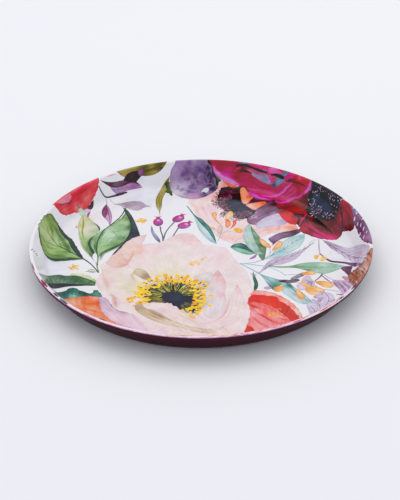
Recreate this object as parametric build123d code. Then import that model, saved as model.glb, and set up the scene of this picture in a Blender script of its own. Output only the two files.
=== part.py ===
from build123d import *
import math
import os

# A round serving tray pressed from sheet steel. Its edge is curled outward and down round a wire, its
# face carries a white ground, a printed decoration and a clear gloss lacquer, and its back is lacquered
# in one dark colour. +Z is up and the origin is on the floor plane, under the middle of the tray.

# Driving dimensions, in millimetres and degrees.
OVERALL_DIAMETER = 350.0
OVERALL_HEIGHT = 27.0
SHEET_THICKNESS = 0.8
WIRE_RADIUS = 1.0
WALL_LEAN = 30.0            # the wall's lean outward from the vertical
FLOOR_BEND_RADIUS = 14.0    # the bend between floor and wall, on the back of the sheet
FACE_COAT = 0.2             # each of the three coats on the face
BACK_COAT = 0.2             # the lacquer on the back
COAT_EDGE_ANGLE = 40.0      # where the face coats stop on the bead, counted up from its outermost line
CURL_GAP_ANGLE = 75.0       # from the wall round to the cut edge of the curl, about the wire's centre
WIRE_JOINT_GAP = 1.8        # between the two butted ends of the rim wire

# Distances from the back of the sheet, through its thickness and on through the coats on its face.
GROUND_START = SHEET_THICKNESS
PRINT_START = GROUND_START + FACE_COAT
LACQUER_START = PRINT_START + FACE_COAT
FACE_SURFACE = LACQUER_START + FACE_COAT

# The wire's centre follows from the overall size. The face's coats lie on the top of the bead, the highest
# line of the tray, and the back's lacquer lies on its outside, the widest line.
BEAD_TOP = WIRE_RADIUS + FACE_SURFACE
BEAD_SIDE = WIRE_RADIUS + SHEET_THICKNESS + BACK_COAT
WIRE_CENTRE = Vector(OVERALL_DIAMETER / 2 - BEAD_SIDE, OVERALL_HEIGHT - BEAD_TOP)

# Seen in section, the wall's face looks towards INWARD_ANGLE, and a curl about the wire starts there.
INWARD_ANGLE = 180.0 - WALL_LEAN
INWARD = Vector(math.cos(math.radians(INWARD_ANGLE)), math.sin(math.radians(INWARD_ANGLE)))
BEND_START_ANGLE = -90.0
BEND_END_ANGLE = INWARD_ANGLE - 180.0
CURL_END_ANGLE = INWARD_ANGLE - 360.0 + CURL_GAP_ANGLE

# The floor bend is tangent to the floor and to the wall, and the wall is tangent to the wire.
BEND_HEIGHT = BACK_COAT + FLOOR_BEND_RADIUS
BEND_OFFSET = FLOOR_BEND_RADIUS + WIRE_RADIUS - (BEND_HEIGHT - WIRE_CENTRE.Y) * INWARD.Y
BEND_CENTRE = Vector(WIRE_CENTRE.X + BEND_OFFSET / INWARD.X, BEND_HEIGHT)


def polar(centre, radius, angle):
    """A point on the circle about centre, in the section plane."""
    radians = math.radians(angle)
    return centre + Vector(math.cos(radians), math.sin(radians)) * radius


def dish_line(depth):
    """The floor, bend and wall at a distance depth from the back of the sheet, from the axis outward."""
    floor_height = BACK_COAT + depth
    bend_radius = FLOOR_BEND_RADIUS - depth
    wall_foot = polar(BEND_CENTRE, bend_radius, BEND_END_ANGLE)
    wall_top = polar(WIRE_CENTRE, WIRE_RADIUS + depth, INWARD_ANGLE)
    bend_sweep = BEND_END_ANGLE - BEND_START_ANGLE
    return [
        Line((0, floor_height), (BEND_CENTRE.X, floor_height)),
        CenterArc(BEND_CENTRE, bend_radius, BEND_START_ANGLE, bend_sweep),
        Line(wall_foot, wall_top),
    ]


def curl_line(depth, end_angle):
    """The curl over the wire at a distance depth from the back of the sheet, from the wall to end_angle."""
    return [CenterArc(WIRE_CENTRE, WIRE_RADIUS + depth, INWARD_ANGLE, end_angle - INWARD_ANGLE)]


def layer_solid(near_depth, far_depth, end_angle):
    """The layer between two depths, from the axis to end_angle on the curl, turned about the axis."""
    edges = dish_line(near_depth) + curl_line(near_depth, end_angle)
    edges += dish_line(far_depth) + curl_line(far_depth, end_angle)
    edges.append(Line((0, BACK_COAT + near_depth), (0, BACK_COAT + far_depth)))
    near_end = polar(WIRE_CENTRE, WIRE_RADIUS + near_depth, end_angle)
    far_end = polar(WIRE_CENTRE, WIRE_RADIUS + far_depth, end_angle)
    edges.append(Line(near_end, far_end))
    return turned(edges)


def turned(edges, degrees=360.0):
    """The solid that the section bounded by edges makes when it is turned about the tray's axis."""
    return revolve(Plane.XZ * make_face(edges), axis=Axis.Z, revolution_arc=degrees)


def pressed_shell():
    """The steel sheet: floor, wall, and the curl that goes nearly all the way round the wire."""
    return layer_solid(0.0, SHEET_THICKNESS, CURL_END_ANGLE)


def rim_wire():
    """The wire in the curl, a ring with its two ends butted."""
    gap_degrees = math.degrees(WIRE_JOINT_GAP / WIRE_CENTRE.X)
    section = Plane.XZ * Pos(WIRE_CENTRE.X, WIRE_CENTRE.Y) * Circle(WIRE_RADIUS)
    ring = revolve(section, axis=Axis.Z, revolution_arc=360.0 - gap_degrees)
    return Rot(0, 0, 90.0) * ring


def back_lacquer():
    """The lacquer under the floor, up the back of the wall, across the curl's gap and round the bead."""
    wall_back_distance = WIRE_RADIUS - BACK_COAT
    curl_outside = WIRE_RADIUS + SHEET_THICKNESS
    bead_outside = curl_outside + BACK_COAT

    # Where the coated wall meets the coated bead.
    meeting_angle = math.degrees(math.acos(wall_back_distance / bead_outside))
    bead_start = INWARD_ANGLE + meeting_angle - 360.0
    meeting_point = polar(WIRE_CENTRE, bead_outside, bead_start)

    # The lacquer fills the gap up to the middle of the sheet's cut edge, and square across to the wall.
    plug_point = polar(WIRE_CENTRE, WIRE_RADIUS + SHEET_THICKNESS / 2, CURL_END_ANGLE)
    across = WIRE_RADIUS - (plug_point - WIRE_CENTRE).dot(INWARD)
    plug_on_wall = plug_point + INWARD * across

    # The lacquer stops where the face coats stop.
    edge_inside = polar(WIRE_CENTRE, curl_outside, COAT_EDGE_ANGLE)
    edge_outside = polar(WIRE_CENTRE, bead_outside, COAT_EDGE_ANGLE)

    floor, bend, _ = dish_line(0.0)
    coated_floor, coated_bend, _ = dish_line(-BACK_COAT)
    edges = [
        floor,
        bend,
        Line(polar(BEND_CENTRE, FLOOR_BEND_RADIUS, BEND_END_ANGLE), plug_on_wall),
        Line(plug_on_wall, plug_point),
        Line(plug_point, polar(WIRE_CENTRE, curl_outside, CURL_END_ANGLE)),
        CenterArc(WIRE_CENTRE, curl_outside, CURL_END_ANGLE, COAT_EDGE_ANGLE - CURL_END_ANGLE),
        Line(edge_inside, edge_outside),
        CenterArc(WIRE_CENTRE, bead_outside, bead_start, COAT_EDGE_ANGLE - bead_start),
        Line(meeting_point, polar(BEND_CENTRE, FLOOR_BEND_RADIUS + BACK_COAT, BEND_END_ANGLE)),
        coated_bend,
        coated_floor,
        Line((0, 0), (0, BACK_COAT)),
    ]
    return turned(edges)


PARTS = {
    "pressed_shell": pressed_shell(),
    "rim_wire": rim_wire(),
    "ground_coat": layer_solid(GROUND_START, PRINT_START, COAT_EDGE_ANGLE),
    "printed_decoration": layer_solid(PRINT_START, LACQUER_START, COAT_EDGE_ANGLE),
    "clear_lacquer": layer_solid(LACQUER_START, FACE_SURFACE, COAT_EDGE_ANGLE),
    "back_lacquer": back_lacquer(),
}

os.makedirs("parts", exist_ok=True)
for name, part in PARTS.items():
    export_step(part, f"parts/{name}.step")
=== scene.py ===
import math
import random

import bpy
import numpy as np
from mathutils import Matrix, Vector
from mathutils.geometry import delaunay_2d_cdt


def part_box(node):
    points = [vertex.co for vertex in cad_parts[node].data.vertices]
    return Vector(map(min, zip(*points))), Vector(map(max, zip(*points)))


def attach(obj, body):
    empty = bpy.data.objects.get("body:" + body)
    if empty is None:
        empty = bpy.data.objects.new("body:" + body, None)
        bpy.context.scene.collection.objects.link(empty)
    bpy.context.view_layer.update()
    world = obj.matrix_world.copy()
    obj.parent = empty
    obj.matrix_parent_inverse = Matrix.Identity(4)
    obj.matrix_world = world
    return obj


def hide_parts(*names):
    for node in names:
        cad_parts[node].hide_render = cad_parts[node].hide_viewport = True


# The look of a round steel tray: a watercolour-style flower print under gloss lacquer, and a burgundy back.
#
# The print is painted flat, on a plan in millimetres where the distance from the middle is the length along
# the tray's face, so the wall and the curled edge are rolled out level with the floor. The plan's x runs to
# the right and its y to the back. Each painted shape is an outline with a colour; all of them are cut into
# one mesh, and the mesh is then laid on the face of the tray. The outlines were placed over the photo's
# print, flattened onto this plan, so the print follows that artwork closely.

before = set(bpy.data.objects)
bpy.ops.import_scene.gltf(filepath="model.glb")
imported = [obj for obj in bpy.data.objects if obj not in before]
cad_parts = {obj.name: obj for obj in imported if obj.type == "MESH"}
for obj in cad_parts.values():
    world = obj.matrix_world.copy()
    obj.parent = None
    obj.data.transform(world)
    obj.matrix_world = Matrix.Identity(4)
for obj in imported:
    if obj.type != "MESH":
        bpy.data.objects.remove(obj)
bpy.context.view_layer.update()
MM = 0.001

# ---------------------------------------------------------------- the tray's section, in millimetres

COAT = 0.2                      # thickness of each face coat and of the back lacquer
WALL_LEAN = 30.0                # outward from the vertical
BEND_RADIUS = 12.6              # the bend between floor and wall, on the painted face
BEAD_RADIUS = 2.4               # the painted bead round the rim wire
BACK_BEND_RADIUS = 14.2
BACK_BEAD_RADIUS = 2.0
WALL_BACK_OFFSET = 0.8          # from the wire's centre to the back of the wall
COAT_EDGE_ANGLE = 40.0          # where face and back coats meet on the bead, up from its outermost line
WALL_ANGLE = 180.0 - WALL_LEAN  # the way the wall's face looks, seen in section

face_low, face_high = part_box("clear_lacquer")
_, back_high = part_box("back_lacquer")
FLOOR_HEIGHT = face_low.z / MM + COAT
BEAD_X = back_high.x / MM - BACK_BEAD_RADIUS
BEAD_Z = face_high.z / MM - BEAD_RADIUS


def polar(centre, radius, degrees):
    """The point of a circle at an angle, in the section plane."""
    angle = math.radians(degrees)
    return centre[0] + radius * math.cos(angle), centre[1] + radius * math.sin(angle)


def bend_centre():
    """The bend touches the floor and the wall, and the wall touches the bead."""
    height = FLOOR_HEIGHT + BEND_RADIUS
    inward_x, inward_z = polar((0, 0), 1, WALL_ANGLE)
    across = BEND_RADIUS + BEAD_RADIUS - (height - BEAD_Z) * inward_z
    return BEAD_X + across / inward_x, height


BEND_CENTRE = bend_centre()
BEAD_CENTRE = (BEAD_X, BEAD_Z)


class Section:
    """A line in the section plane, made of straight runs and arcs, measured by length from the axis."""

    def __init__(self):
        self.spans = []
        self.length = 0.0

    def line(self, start, end):
        run = math.dist(start, end)
        self.spans.append((self.length, run, "line", start, end))
        self.length += run
        return self

    def arc(self, centre, radius, start, end):
        run = abs(math.radians(end - start)) * radius
        self.spans.append((self.length, run, "arc", (centre, radius), (start, end)))
        self.length += run
        return self

    def at(self, distance):
        """Radius, height and the normal on the left hand of the line, for an array of distances."""
        distance = np.asarray(distance, float)
        out = np.zeros((4,) + distance.shape)
        for start, run, kind, first, second in self.spans:
            here = distance >= start - 1e-9
            share = np.clip((distance[here] - start) / run, 0, 1)
            if kind == "line":
                (x0, z0), (x1, z1) = first, second
                out[0][here] = x0 + (x1 - x0) * share
                out[1][here] = z0 + (z1 - z0) * share
                out[2][here] = -(z1 - z0) / run
                out[3][here] = (x1 - x0) / run
            else:
                (centre, radius), (a0, a1) = first, second
                angle = np.radians(a0 + (a1 - a0) * share)
                side = 1 if a1 < a0 else -1
                out[0][here] = centre[0] + radius * np.cos(angle)
                out[1][here] = centre[1] + radius * np.sin(angle)
                out[2][here] = side * np.cos(angle)
                out[3][here] = side * np.sin(angle)
        return out


def face_section():
    """The painted face, from the middle of the floor to the coats' edge on the bead."""
    section = Section()
    section.line((0, FLOOR_HEIGHT), (BEND_CENTRE[0], FLOOR_HEIGHT))
    section.arc(BEND_CENTRE, BEND_RADIUS, -90, -WALL_LEAN)
    section.line(polar(BEND_CENTRE, BEND_RADIUS, -WALL_LEAN), polar(BEAD_CENTRE, BEAD_RADIUS, WALL_ANGLE))
    section.arc(BEAD_CENTRE, BEAD_RADIUS, WALL_ANGLE, COAT_EDGE_ANGLE)
    return section


FACE = face_section()
FLOOR_EDGE = FACE.spans[1][0]
WALL_TOP = FACE.spans[3][0]
PRINT_EDGE = FACE.length


# ---------------------------------------------------------------- outlines on the plan


def smooth(points, corners=(), closed=True, step=2.0):
    """A curve through the points, as a row of points about step apart. It turns sharply at the corners."""
    points = np.array(points, float)
    count = len(points)
    sharp = {corner % count for corner in corners}
    row = []
    for i in range(count if closed else count - 1):
        j = (i + 1) % count
        chord = points[j] - points[i]
        length = math.hypot(*chord)
        before, after = points[i - 1], points[(j + 1) % count]
        free_start = i in sharp or (not closed and i == 0)
        free_end = j in sharp or (not closed and j == count - 1)
        leave = chord if free_start else unit(points[j] - before) * length
        arrive = chord if free_end else unit(after - points[i]) * length
        for t in np.arange(0, 1, 1 / max(1, round(length / step))):
            row.append(
                points[i] * (2 * t ** 3 - 3 * t ** 2 + 1)
                + leave * (t ** 3 - 2 * t ** 2 + t)
                + points[j] * (3 * t ** 2 - 2 * t ** 3)
                + arrive * (t ** 3 - t ** 2)
            )
    if not closed:
        row.append(points[-1])
    return np.array(row)


def unit(vector):
    """A vector of length one in the same direction."""
    return np.asarray(vector, float) / max(1e-9, math.hypot(*vector))


def brushed(points, widths, step=2.0):
    """The outline of a brush stroke along a curve, whose width runs evenly through the given widths."""
    row = smooth(points, closed=False, step=step)
    along = np.gradient(row, axis=0)
    along /= np.maximum(1e-9, np.hypot(*along.T))[:, None]
    across = np.column_stack((-along[:, 1], along[:, 0]))
    places = np.linspace(0, 1, len(widths))
    half = np.interp(np.linspace(0, 1, len(row)), places, widths)[:, None] / 2
    return np.vstack((row + across * half, (row - across * half)[::-1]))


def oval(centre, along, across, degrees=0.0, count=12):
    """An ellipse by its two half sizes, the first at an angle to the right."""
    turn = math.radians(degrees)
    angle = np.linspace(0, 2 * math.pi, count, endpoint=False)
    x, y = along * np.cos(angle), across * np.sin(angle)
    turned_x = x * math.cos(turn) - y * math.sin(turn)
    turned_y = x * math.sin(turn) + y * math.cos(turn)
    return np.column_stack((centre[0] + turned_x, centre[1] + turned_y))


def ruffled(outline, depth, length, seed):
    """The outline with an uneven ripple of a depth and a length, as a petal's edge has."""
    rng = random.Random(seed)
    along = np.roll(outline, -1, 0) - np.roll(outline, 1, 0)
    along /= np.maximum(1e-9, np.hypot(*along.T))[:, None]
    travelled = np.cumsum(np.hypot(*(np.roll(outline, -1, 0) - outline).T))
    ripple = np.zeros(len(outline))
    for part in (1.0, 0.61, 0.37):
        waves = max(1, round(travelled[-1] / (length * part)))
        phase = rng.uniform(0, 2 * math.pi)
        ripple += part * np.sin(2 * math.pi * waves * travelled / travelled[-1] + phase)
    shift = (ripple * depth / 2)[:, None]
    return outline + np.column_stack((along[:, 1], -along[:, 0])) * shift


def rgb(colour):
    """A colour given in steps of 0 to 255, as an array from 0 to 1."""
    return np.array(colour, float) / 255


# ---------------------------------------------------------------- painted shapes


class Shape:
    """One painted outline: what colour it gives, how strongly, and how its brush marks run."""

    def __init__(self, outline, colour, tints, opacity, feather, flow, streak, pool):
        self.outline = np.asarray(outline, float)
        self.colour = rgb(colour)
        self.tints = tints
        self.opacity = opacity
        self.feather = feather
        self.flow = flow
        self.streak = streak
        self.pool = pool

    def covers(self, points):
        """Which points lie inside the outline, counting the outline's turns round each of them."""
        turns = np.zeros(len(points), int)
        x, y = points.T
        for (ax, ay), (bx, by) in zip(self.outline, np.roll(self.outline, -1, 0)):
            side = (bx - ax) * (y - ay) - (x - ax) * (by - ay)
            turns += (ay <= y) & (y < by) & (side > 0)
            turns -= (by <= y) & (y < ay) & (side < 0)
        return turns != 0

    def edge_distance(self, points):
        """How far each point lies from the outline."""
        start = self.outline
        run = np.roll(start, -1, 0) - start
        square = np.maximum(1e-12, (run ** 2).sum(1))
        nearest = np.full(len(points), 1e9)
        for (sx, sy), (rx, ry), size in zip(start, run, square):
            dx, dy = points[:, 0] - sx, points[:, 1] - sy
            share = np.clip((dx * rx + dy * ry) / size, 0, 1)
            nearest = np.minimum(nearest, np.hypot(dx - share * rx, dy - share * ry))
        return nearest

    def colours(self, points):
        """The colour at each point: the base wash, drawn towards each tint near its middle."""
        mixed = np.tile(self.colour, (len(points), 1))
        for x, y, reach, colour in self.tints:
            near = np.exp(-((points[:, 0] - x) ** 2 + (points[:, 1] - y) ** 2) / reach ** 2)
            mixed += (rgb(colour) - mixed) * near[:, None]
        return mixed

    def brush_run(self, points):
        """How far each point is along and across the brush marks, in millimetres."""
        kind, (x, y) = self.flow
        if kind == "along":
            dx, dy = unit((x, y))
            return points[:, 0] * dx + points[:, 1] * dy, points[:, 1] * dx - points[:, 0] * dy
        away = points - (x, y)
        middle = unit(self.outline.mean(0) - (x, y))
        forward = away @ middle
        sideways = away[:, 1] * middle[0] - away[:, 0] * middle[1]
        return np.hypot(forward, sideways), np.arctan2(sideways, forward) * RADIAL_RUN


RADIAL_RUN = 45.0               # millimetres across the marks for each radian about a flower's middle


class Motif:
    """A group of painted shapes that makes one piece of the print. Later shapes lie over earlier ones."""

    def __init__(self, name):
        self.name = name
        self.shapes = []

    def wash(self, outline, colour, tints=(), opacity=1.0, feather=0.0, flow=("along", (1, 0)), streak=0.5,
             pool=0.5):
        """Any outline filled with colour."""
        self.shapes.append(Shape(outline, colour, tints, opacity, feather, flow, streak, pool))

    def petal(self, points, colour, tints=(), corners=(), ruffle=0.0, seed=1, **look):
        """A closed smooth outline, with an uneven edge where ruffle is given."""
        outline = smooth(points, corners)
        if ruffle:
            outline = ruffled(outline, ruffle, RUFFLE_LENGTH, seed)
        self.wash(outline, colour, tints, **look)

    def stroke(self, points, widths, colour, tints=(), **look):
        """A brush stroke along a smooth line."""
        look.setdefault("pool", 0.0)
        look.setdefault("flow", ("along", np.subtract(points[-1], points[0])))
        self.wash(brushed(points, widths), colour, tints, **look)

    def shade(self, points, widths, colour, opacity=0.6):
        """A soft stroke that melts into what lies under it."""
        self.stroke(points, widths, colour, opacity=opacity, feather=max(widths) * SOFT_SHARE)

    def glow(self, centre, reach, colour, opacity=0.6, stretch=1.0, degrees=0.0):
        """A soft round patch that melts into what lies under it."""
        outline = oval(centre, reach, reach * stretch, degrees, 18)
        self.wash(outline, colour, opacity=opacity, feather=reach * min(1, stretch) * 0.9, pool=0)

    def veins(self, midrib, count, reach, lean, width, colour, opacity=0.7, taper=0.25):
        """A leaf's midrib, and side veins that leave it in pairs at an angle towards the tip."""
        row = smooth(midrib, closed=False, step=1.0)
        self.stroke(midrib, (width * 1.6, width, width * 0.4), colour, opacity=opacity)
        turn = math.radians(lean)
        for share in np.linspace(0.1, 0.88, count):
            place = min(len(row) - 2, int(share * len(row)))
            ahead = unit(row[place + 1] - row[place])
            size = reach * (1 - abs(2 * share - 0.8) * 0.55)
            for side in (-1, 1):
                cos, sin = math.cos(turn * side), math.sin(turn * side)
                out = np.array((ahead[0] * cos - ahead[1] * sin, ahead[0] * sin + ahead[1] * cos))
                end = row[place] + out * size
                bend = row[place] + out * size * 0.5 - ahead * size * 0.07
                self.stroke([row[place], bend, end], (width, width * 0.6, width * taper), colour,
                            opacity=opacity)

    def spray(self, centre, near, far, start, end, count, width, colours, seed, **look):
        """Many thin strokes that point away from a centre, between two angles."""
        rng = random.Random(seed)
        for i in range(count):
            angle = math.radians(start + (end - start) * (i + rng.uniform(0.1, 0.9)) / count)
            way = np.array((math.cos(angle), math.sin(angle)))
            bend = np.array((-way[1], way[0])) * rng.uniform(-0.08, 0.08) * (far - near)
            first = centre + way * near * rng.uniform(0.85, 1.2)
            last = centre + way * far * rng.uniform(0.8, 1.12)
            self.stroke([first, (first + last) / 2 + bend, last], (width, width * 0.8, width * 0.3),
                        rng.choice(colours), **look)

    def specks(self, centre, reach, stretch, degrees, count, size, colours, seed, **look):
        """Small uneven dots scattered over an ellipse."""
        rng = random.Random(seed)
        turn = math.radians(degrees)
        for _ in range(count):
            angle, away = rng.uniform(0, 2 * math.pi), reach * math.sqrt(rng.random())
            x, y = away * math.cos(angle), away * stretch * math.sin(angle)
            place = (centre[0] + x * math.cos(turn) - y * math.sin(turn),
                     centre[1] + x * math.sin(turn) + y * math.cos(turn))
            big = size * rng.uniform(0.5, 1.3)
            self.wash(oval(place, big, big * rng.uniform(0.5, 0.9), rng.uniform(0, 180), 7),
                      rng.choice(colours), pool=0, **look)

    def simple_leaf(self, base, tip, width, bow, colour, shade_colour, vein_colour=None, **look):
        """A pointed leaf along a bowed line from base to tip, its two halves in two colours."""
        base, tip = np.array(base, float), np.array(tip, float)
        along = tip - base
        across = np.array((-along[1], along[0])) / max(1e-9, math.hypot(*along))
        middle = (base + tip) / 2 + across * bow
        quarter = (base * 0.56 + tip * 0.06 + middle * 0.38)
        third = (tip * 0.56 + base * 0.06 + middle * 0.38)
        look.setdefault("flow", ("along", along))
        left = [base, quarter + across * width * 0.42, middle + across * width * 0.5,
                third + across * width * 0.3, tip]
        right = [base, quarter - across * width * 0.42, middle - across * width * 0.5,
                 third - across * width * 0.3, tip]
        self.petal(left + right[-2:0:-1], colour, corners=(0, 4), **look)
        self.petal([base, quarter, middle, third, tip] + right[-2:0:-1], shade_colour, corners=(0, 4), **look)
        if vein_colour:
            self.stroke([base, middle, tip], (0.9, 0.6, 0.3), vein_colour)


SOFT_SHARE = 0.42               # a soft stroke's blurred share of its width
RUFFLE_LENGTH = 9.0             # millimetres between a petal edge's larger ripples


# ---------------------------------------------------------------- the flowers and leaves of the print


def rim_row(start, end, count=6):
    """Points just past the plan's edge between two angles, for a motif that the edge cuts off."""
    angle = np.radians(np.linspace(start, end, count))
    return [tuple(p) for p in (PRINT_EDGE + 3) * np.column_stack((np.cos(angle), np.sin(angle)))]


def painted_wall_shade():
    """Faint bluish-grey patches on the white ground where it turns up into the bend and wall: painted shade.
    """
    art = Motif("painted_wall_shade_patches")
    # each patch is painted shade on the bend or wall, a little darker and bluer than the ground
    for x, y, reach, colour in ((-150, 100, 26, (226, 226, 240)), (-60, 130, 30, (228, 230, 244)),
                                (150, -5, 22, (228, 228, 240)), (-150, -15, 20, (224, 224, 234))):
        art.glow((x, y), reach, colour, 0.5)
    return art


def left_red_flower():
    """The half-open red flower at the upper left, with its calyx and a torn purple bract."""
    art = Motif("left_red_flower")
    grain = ("along", (0.6, 1))
    art.petal([(-173, 74), (-170, 84), (-164, 92), (-157, 106), (-152, 115), (-143, 126), (-134, 136),
               (-124, 143), (-121, 128), (-122, 118), (-124, 108), (-127, 98), (-131, 91), (-138, 86),
               (-143, 82), (-148, 76), (-155, 71), (-162, 71)], (216, 66, 74),
              [(-141, 108, 12, (202, 26, 48)), (-154, 88, 9, (206, 30, 46)), (-131, 108, 9, (226, 116, 108)),
               (-150, 77, 9, (222, 96, 98)), (-137, 91, 8, (232, 120, 128)), (-126, 130, 8, (224, 84, 92))],
              corners=(0, 7), ruffle=0.6, flow=grain, streak=0.8)
    art.shade([(-171, 76), (-162, 89), (-153, 103), (-141, 120), (-124, 138)], (3, 5, 6, 5), (232, 96, 112),
        0.8)
    art.petal([(-168, 79), (-163, 88), (-155, 102), (-150, 98), (-152, 90), (-158, 82)], (228, 140, 158),
              corners=(0, 2), flow=grain)
    art.shade([(-163, 79), (-156, 86), (-151, 92), (-151, 100)], (2.4, 2.8, 2), (110, 20, 45), 0.9)
    art.shade([(-150, 100), (-143, 109), (-133, 121)], (3, 5, 3), (188, 14, 34), 0.7)
    art.stroke([(-143, 95.5), (-138, 93.5), (-133, 92)], (0.6, 2.0, 3.0), (98, 118, 78))
    art.petal([(-137, 92), (-131, 94), (-127, 90), (-127, 86), (-132, 84)], (196, 222, 200))
    art.petal([(-122.5, 112), (-120.5, 107), (-120.5, 102), (-123, 98), (-127, 97), (-125, 104)],
        (104, 58, 92),
              corners=(0, 4))
    art.petal([(-123, 98), (-128, 97), (-130, 93), (-126, 92), (-122, 95)], (214, 200, 222))
    art.stroke([(-123, 95), (-124.5, 90), (-124.5, 84)], (1.2, 3.0, 1.0), (168, 84, 134))
    art.specks((-134, 65), 2.4, 1.4, 0, 6, 0.8, ((110, 66, 84),), 5)
    return art


def olive_and_plum_leaves():
    """The olive, plum and mauve leaves that hang along the back left."""
    art = Motif("back_left_leaves")
    art.stroke([(-114, 144), (-109, 148), (-103, 152)], (0.5, 1.6, 0.6), (226, 160, 190))
    art.petal([(-103, 155), (-97, 160), (-88, 166), (-77, 171), (-66, 177), (-53, 182), (-39, 186),
               (-46, 172), (-52, 166), (-60, 161.5), (-71, 159), (-80, 159), (-92, 152)], (158, 140, 76),
              [(-68, 168, 9, (100, 92, 36)), (-49, 174, 7, (92, 84, 22)), (-92, 155, 7, (182, 164, 104))],
              corners=(0, 6), flow=("along", (1, 0.45)), streak=1.1)
    art.shade([(-86, 159), (-70, 164), (-56, 171), (-42, 178)], (1.5, 4, 4, 1.5), (84, 78, 22), 0.75)
    art.petal([(-109, 136), (-98, 130), (-93, 131), (-84, 138), (-78, 141), (-67, 146), (-80, 150),
        (-90, 146)],
              (182, 138, 178), [(-98, 134, 6, (170, 150, 190)), (-78, 146, 7, (168, 112, 160))],
              corners=(0, 5), flow=("along", (1, 0.4)), streak=0.9)
    for x in (-98, -92, -86, -80):
        art.stroke([(x, 138 + (x + 98) * 0.4), (x + 3, 135 + (x + 98) * 0.42)], (0.7, 0.5, 0.3),
            (132, 84, 128))
    art.petal([(-121, 137), (-111, 139), (-103, 142), (-92, 148), (-85, 150.5), (-76, 151), (-67, 146.5),
               (-79, 149), (-90, 142), (-98, 137), (-108, 135)], (96, 70, 84),
              [(-97, 142, 6, (132, 106, 112)), (-113, 137, 5, (122, 84, 86)), (-84, 149, 5, (74, 44, 62))],
              corners=(0, 6), streak=1.0)
    art.petal([(-92, 148), (-89, 156), (-83, 161), (-76, 164), (-71, 167), (-70, 161), (-73, 155), (-76, 150),
               (-84, 150.5)], (62, 24, 48), [(-84, 158, 5, (78, 36, 62))], corners=(0, 4, 7), streak=0.8)
    art.petal([(-76, 164), (-70, 168), (-69, 163), (-72, 158)], (146, 96, 144), corners=(1,))
    art.stroke([(-121, 130), (-114, 124), (-108, 121.5), (-98, 127), (-92, 131), (-84, 136)],
               (1.4, 1.6, 1.8, 2.4, 3.4, 1.4), (86, 60, 76))
    art.stroke([(-108, 120), (-106, 116), (-105, 112)], (1.0, 1.4, 1.4), (198, 188, 218))
    art.stroke([(-103, 121), (-99, 117), (-94, 113)], (0.6, 0.8, 0.8), (188, 182, 188))
    plum = [(-106, 113), (-109, 106), (-110, 98), (-109, 90), (-106, 83), (-102, 76), (-99, 66),
            (-97.5, 76), (-98, 88), (-100, 98), (-103, 108)]
    art.petal(plum, (188, 142, 182), [(-99, 76, 6, (206, 178, 212))], corners=(0, 6),
        flow=("along", (0.2, -1)),
              streak=0.9)
    art.petal([plum[0], *plum[1:5], (-104, 88), (-103.5, 98), (-104.5, 107)], (142, 80, 120), corners=(0, 4),
              flow=("along", (0.2, -1)), streak=0.9)
    art.stroke([(-106, 112), (-103, 98), (-100, 80), (-99, 68)], (0.8, 0.8, 0.4), (120, 62, 104))
    art.petal([(-98, 114), (-88, 117), (-80, 120), (-72, 121), (-66, 119), (-62, 113), (-55, 108.5),
        (-63, 106),
               (-68, 100), (-73, 99), (-79, 102), (-85, 107), (-91, 111)], (186, 170, 188),
              [(-80, 116, 8, (164, 146, 160)), (-66, 110, 6, (172, 150, 172)),
              (-76, 104, 5, (196, 184, 200))],
              corners=(0, 6), flow=("along", (1, -0.5)), streak=1.2, pool=0.15)
    for x, y in ((-78, 106), (-74, 103), (-84, 110), (-69, 103)):
        art.stroke([(x - 4, y + 5), (x, y + 1), (x + 5, y - 2)], (0.4, 1.0, 0.4), (158, 136, 160),
            opacity=0.7)
    return art


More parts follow.
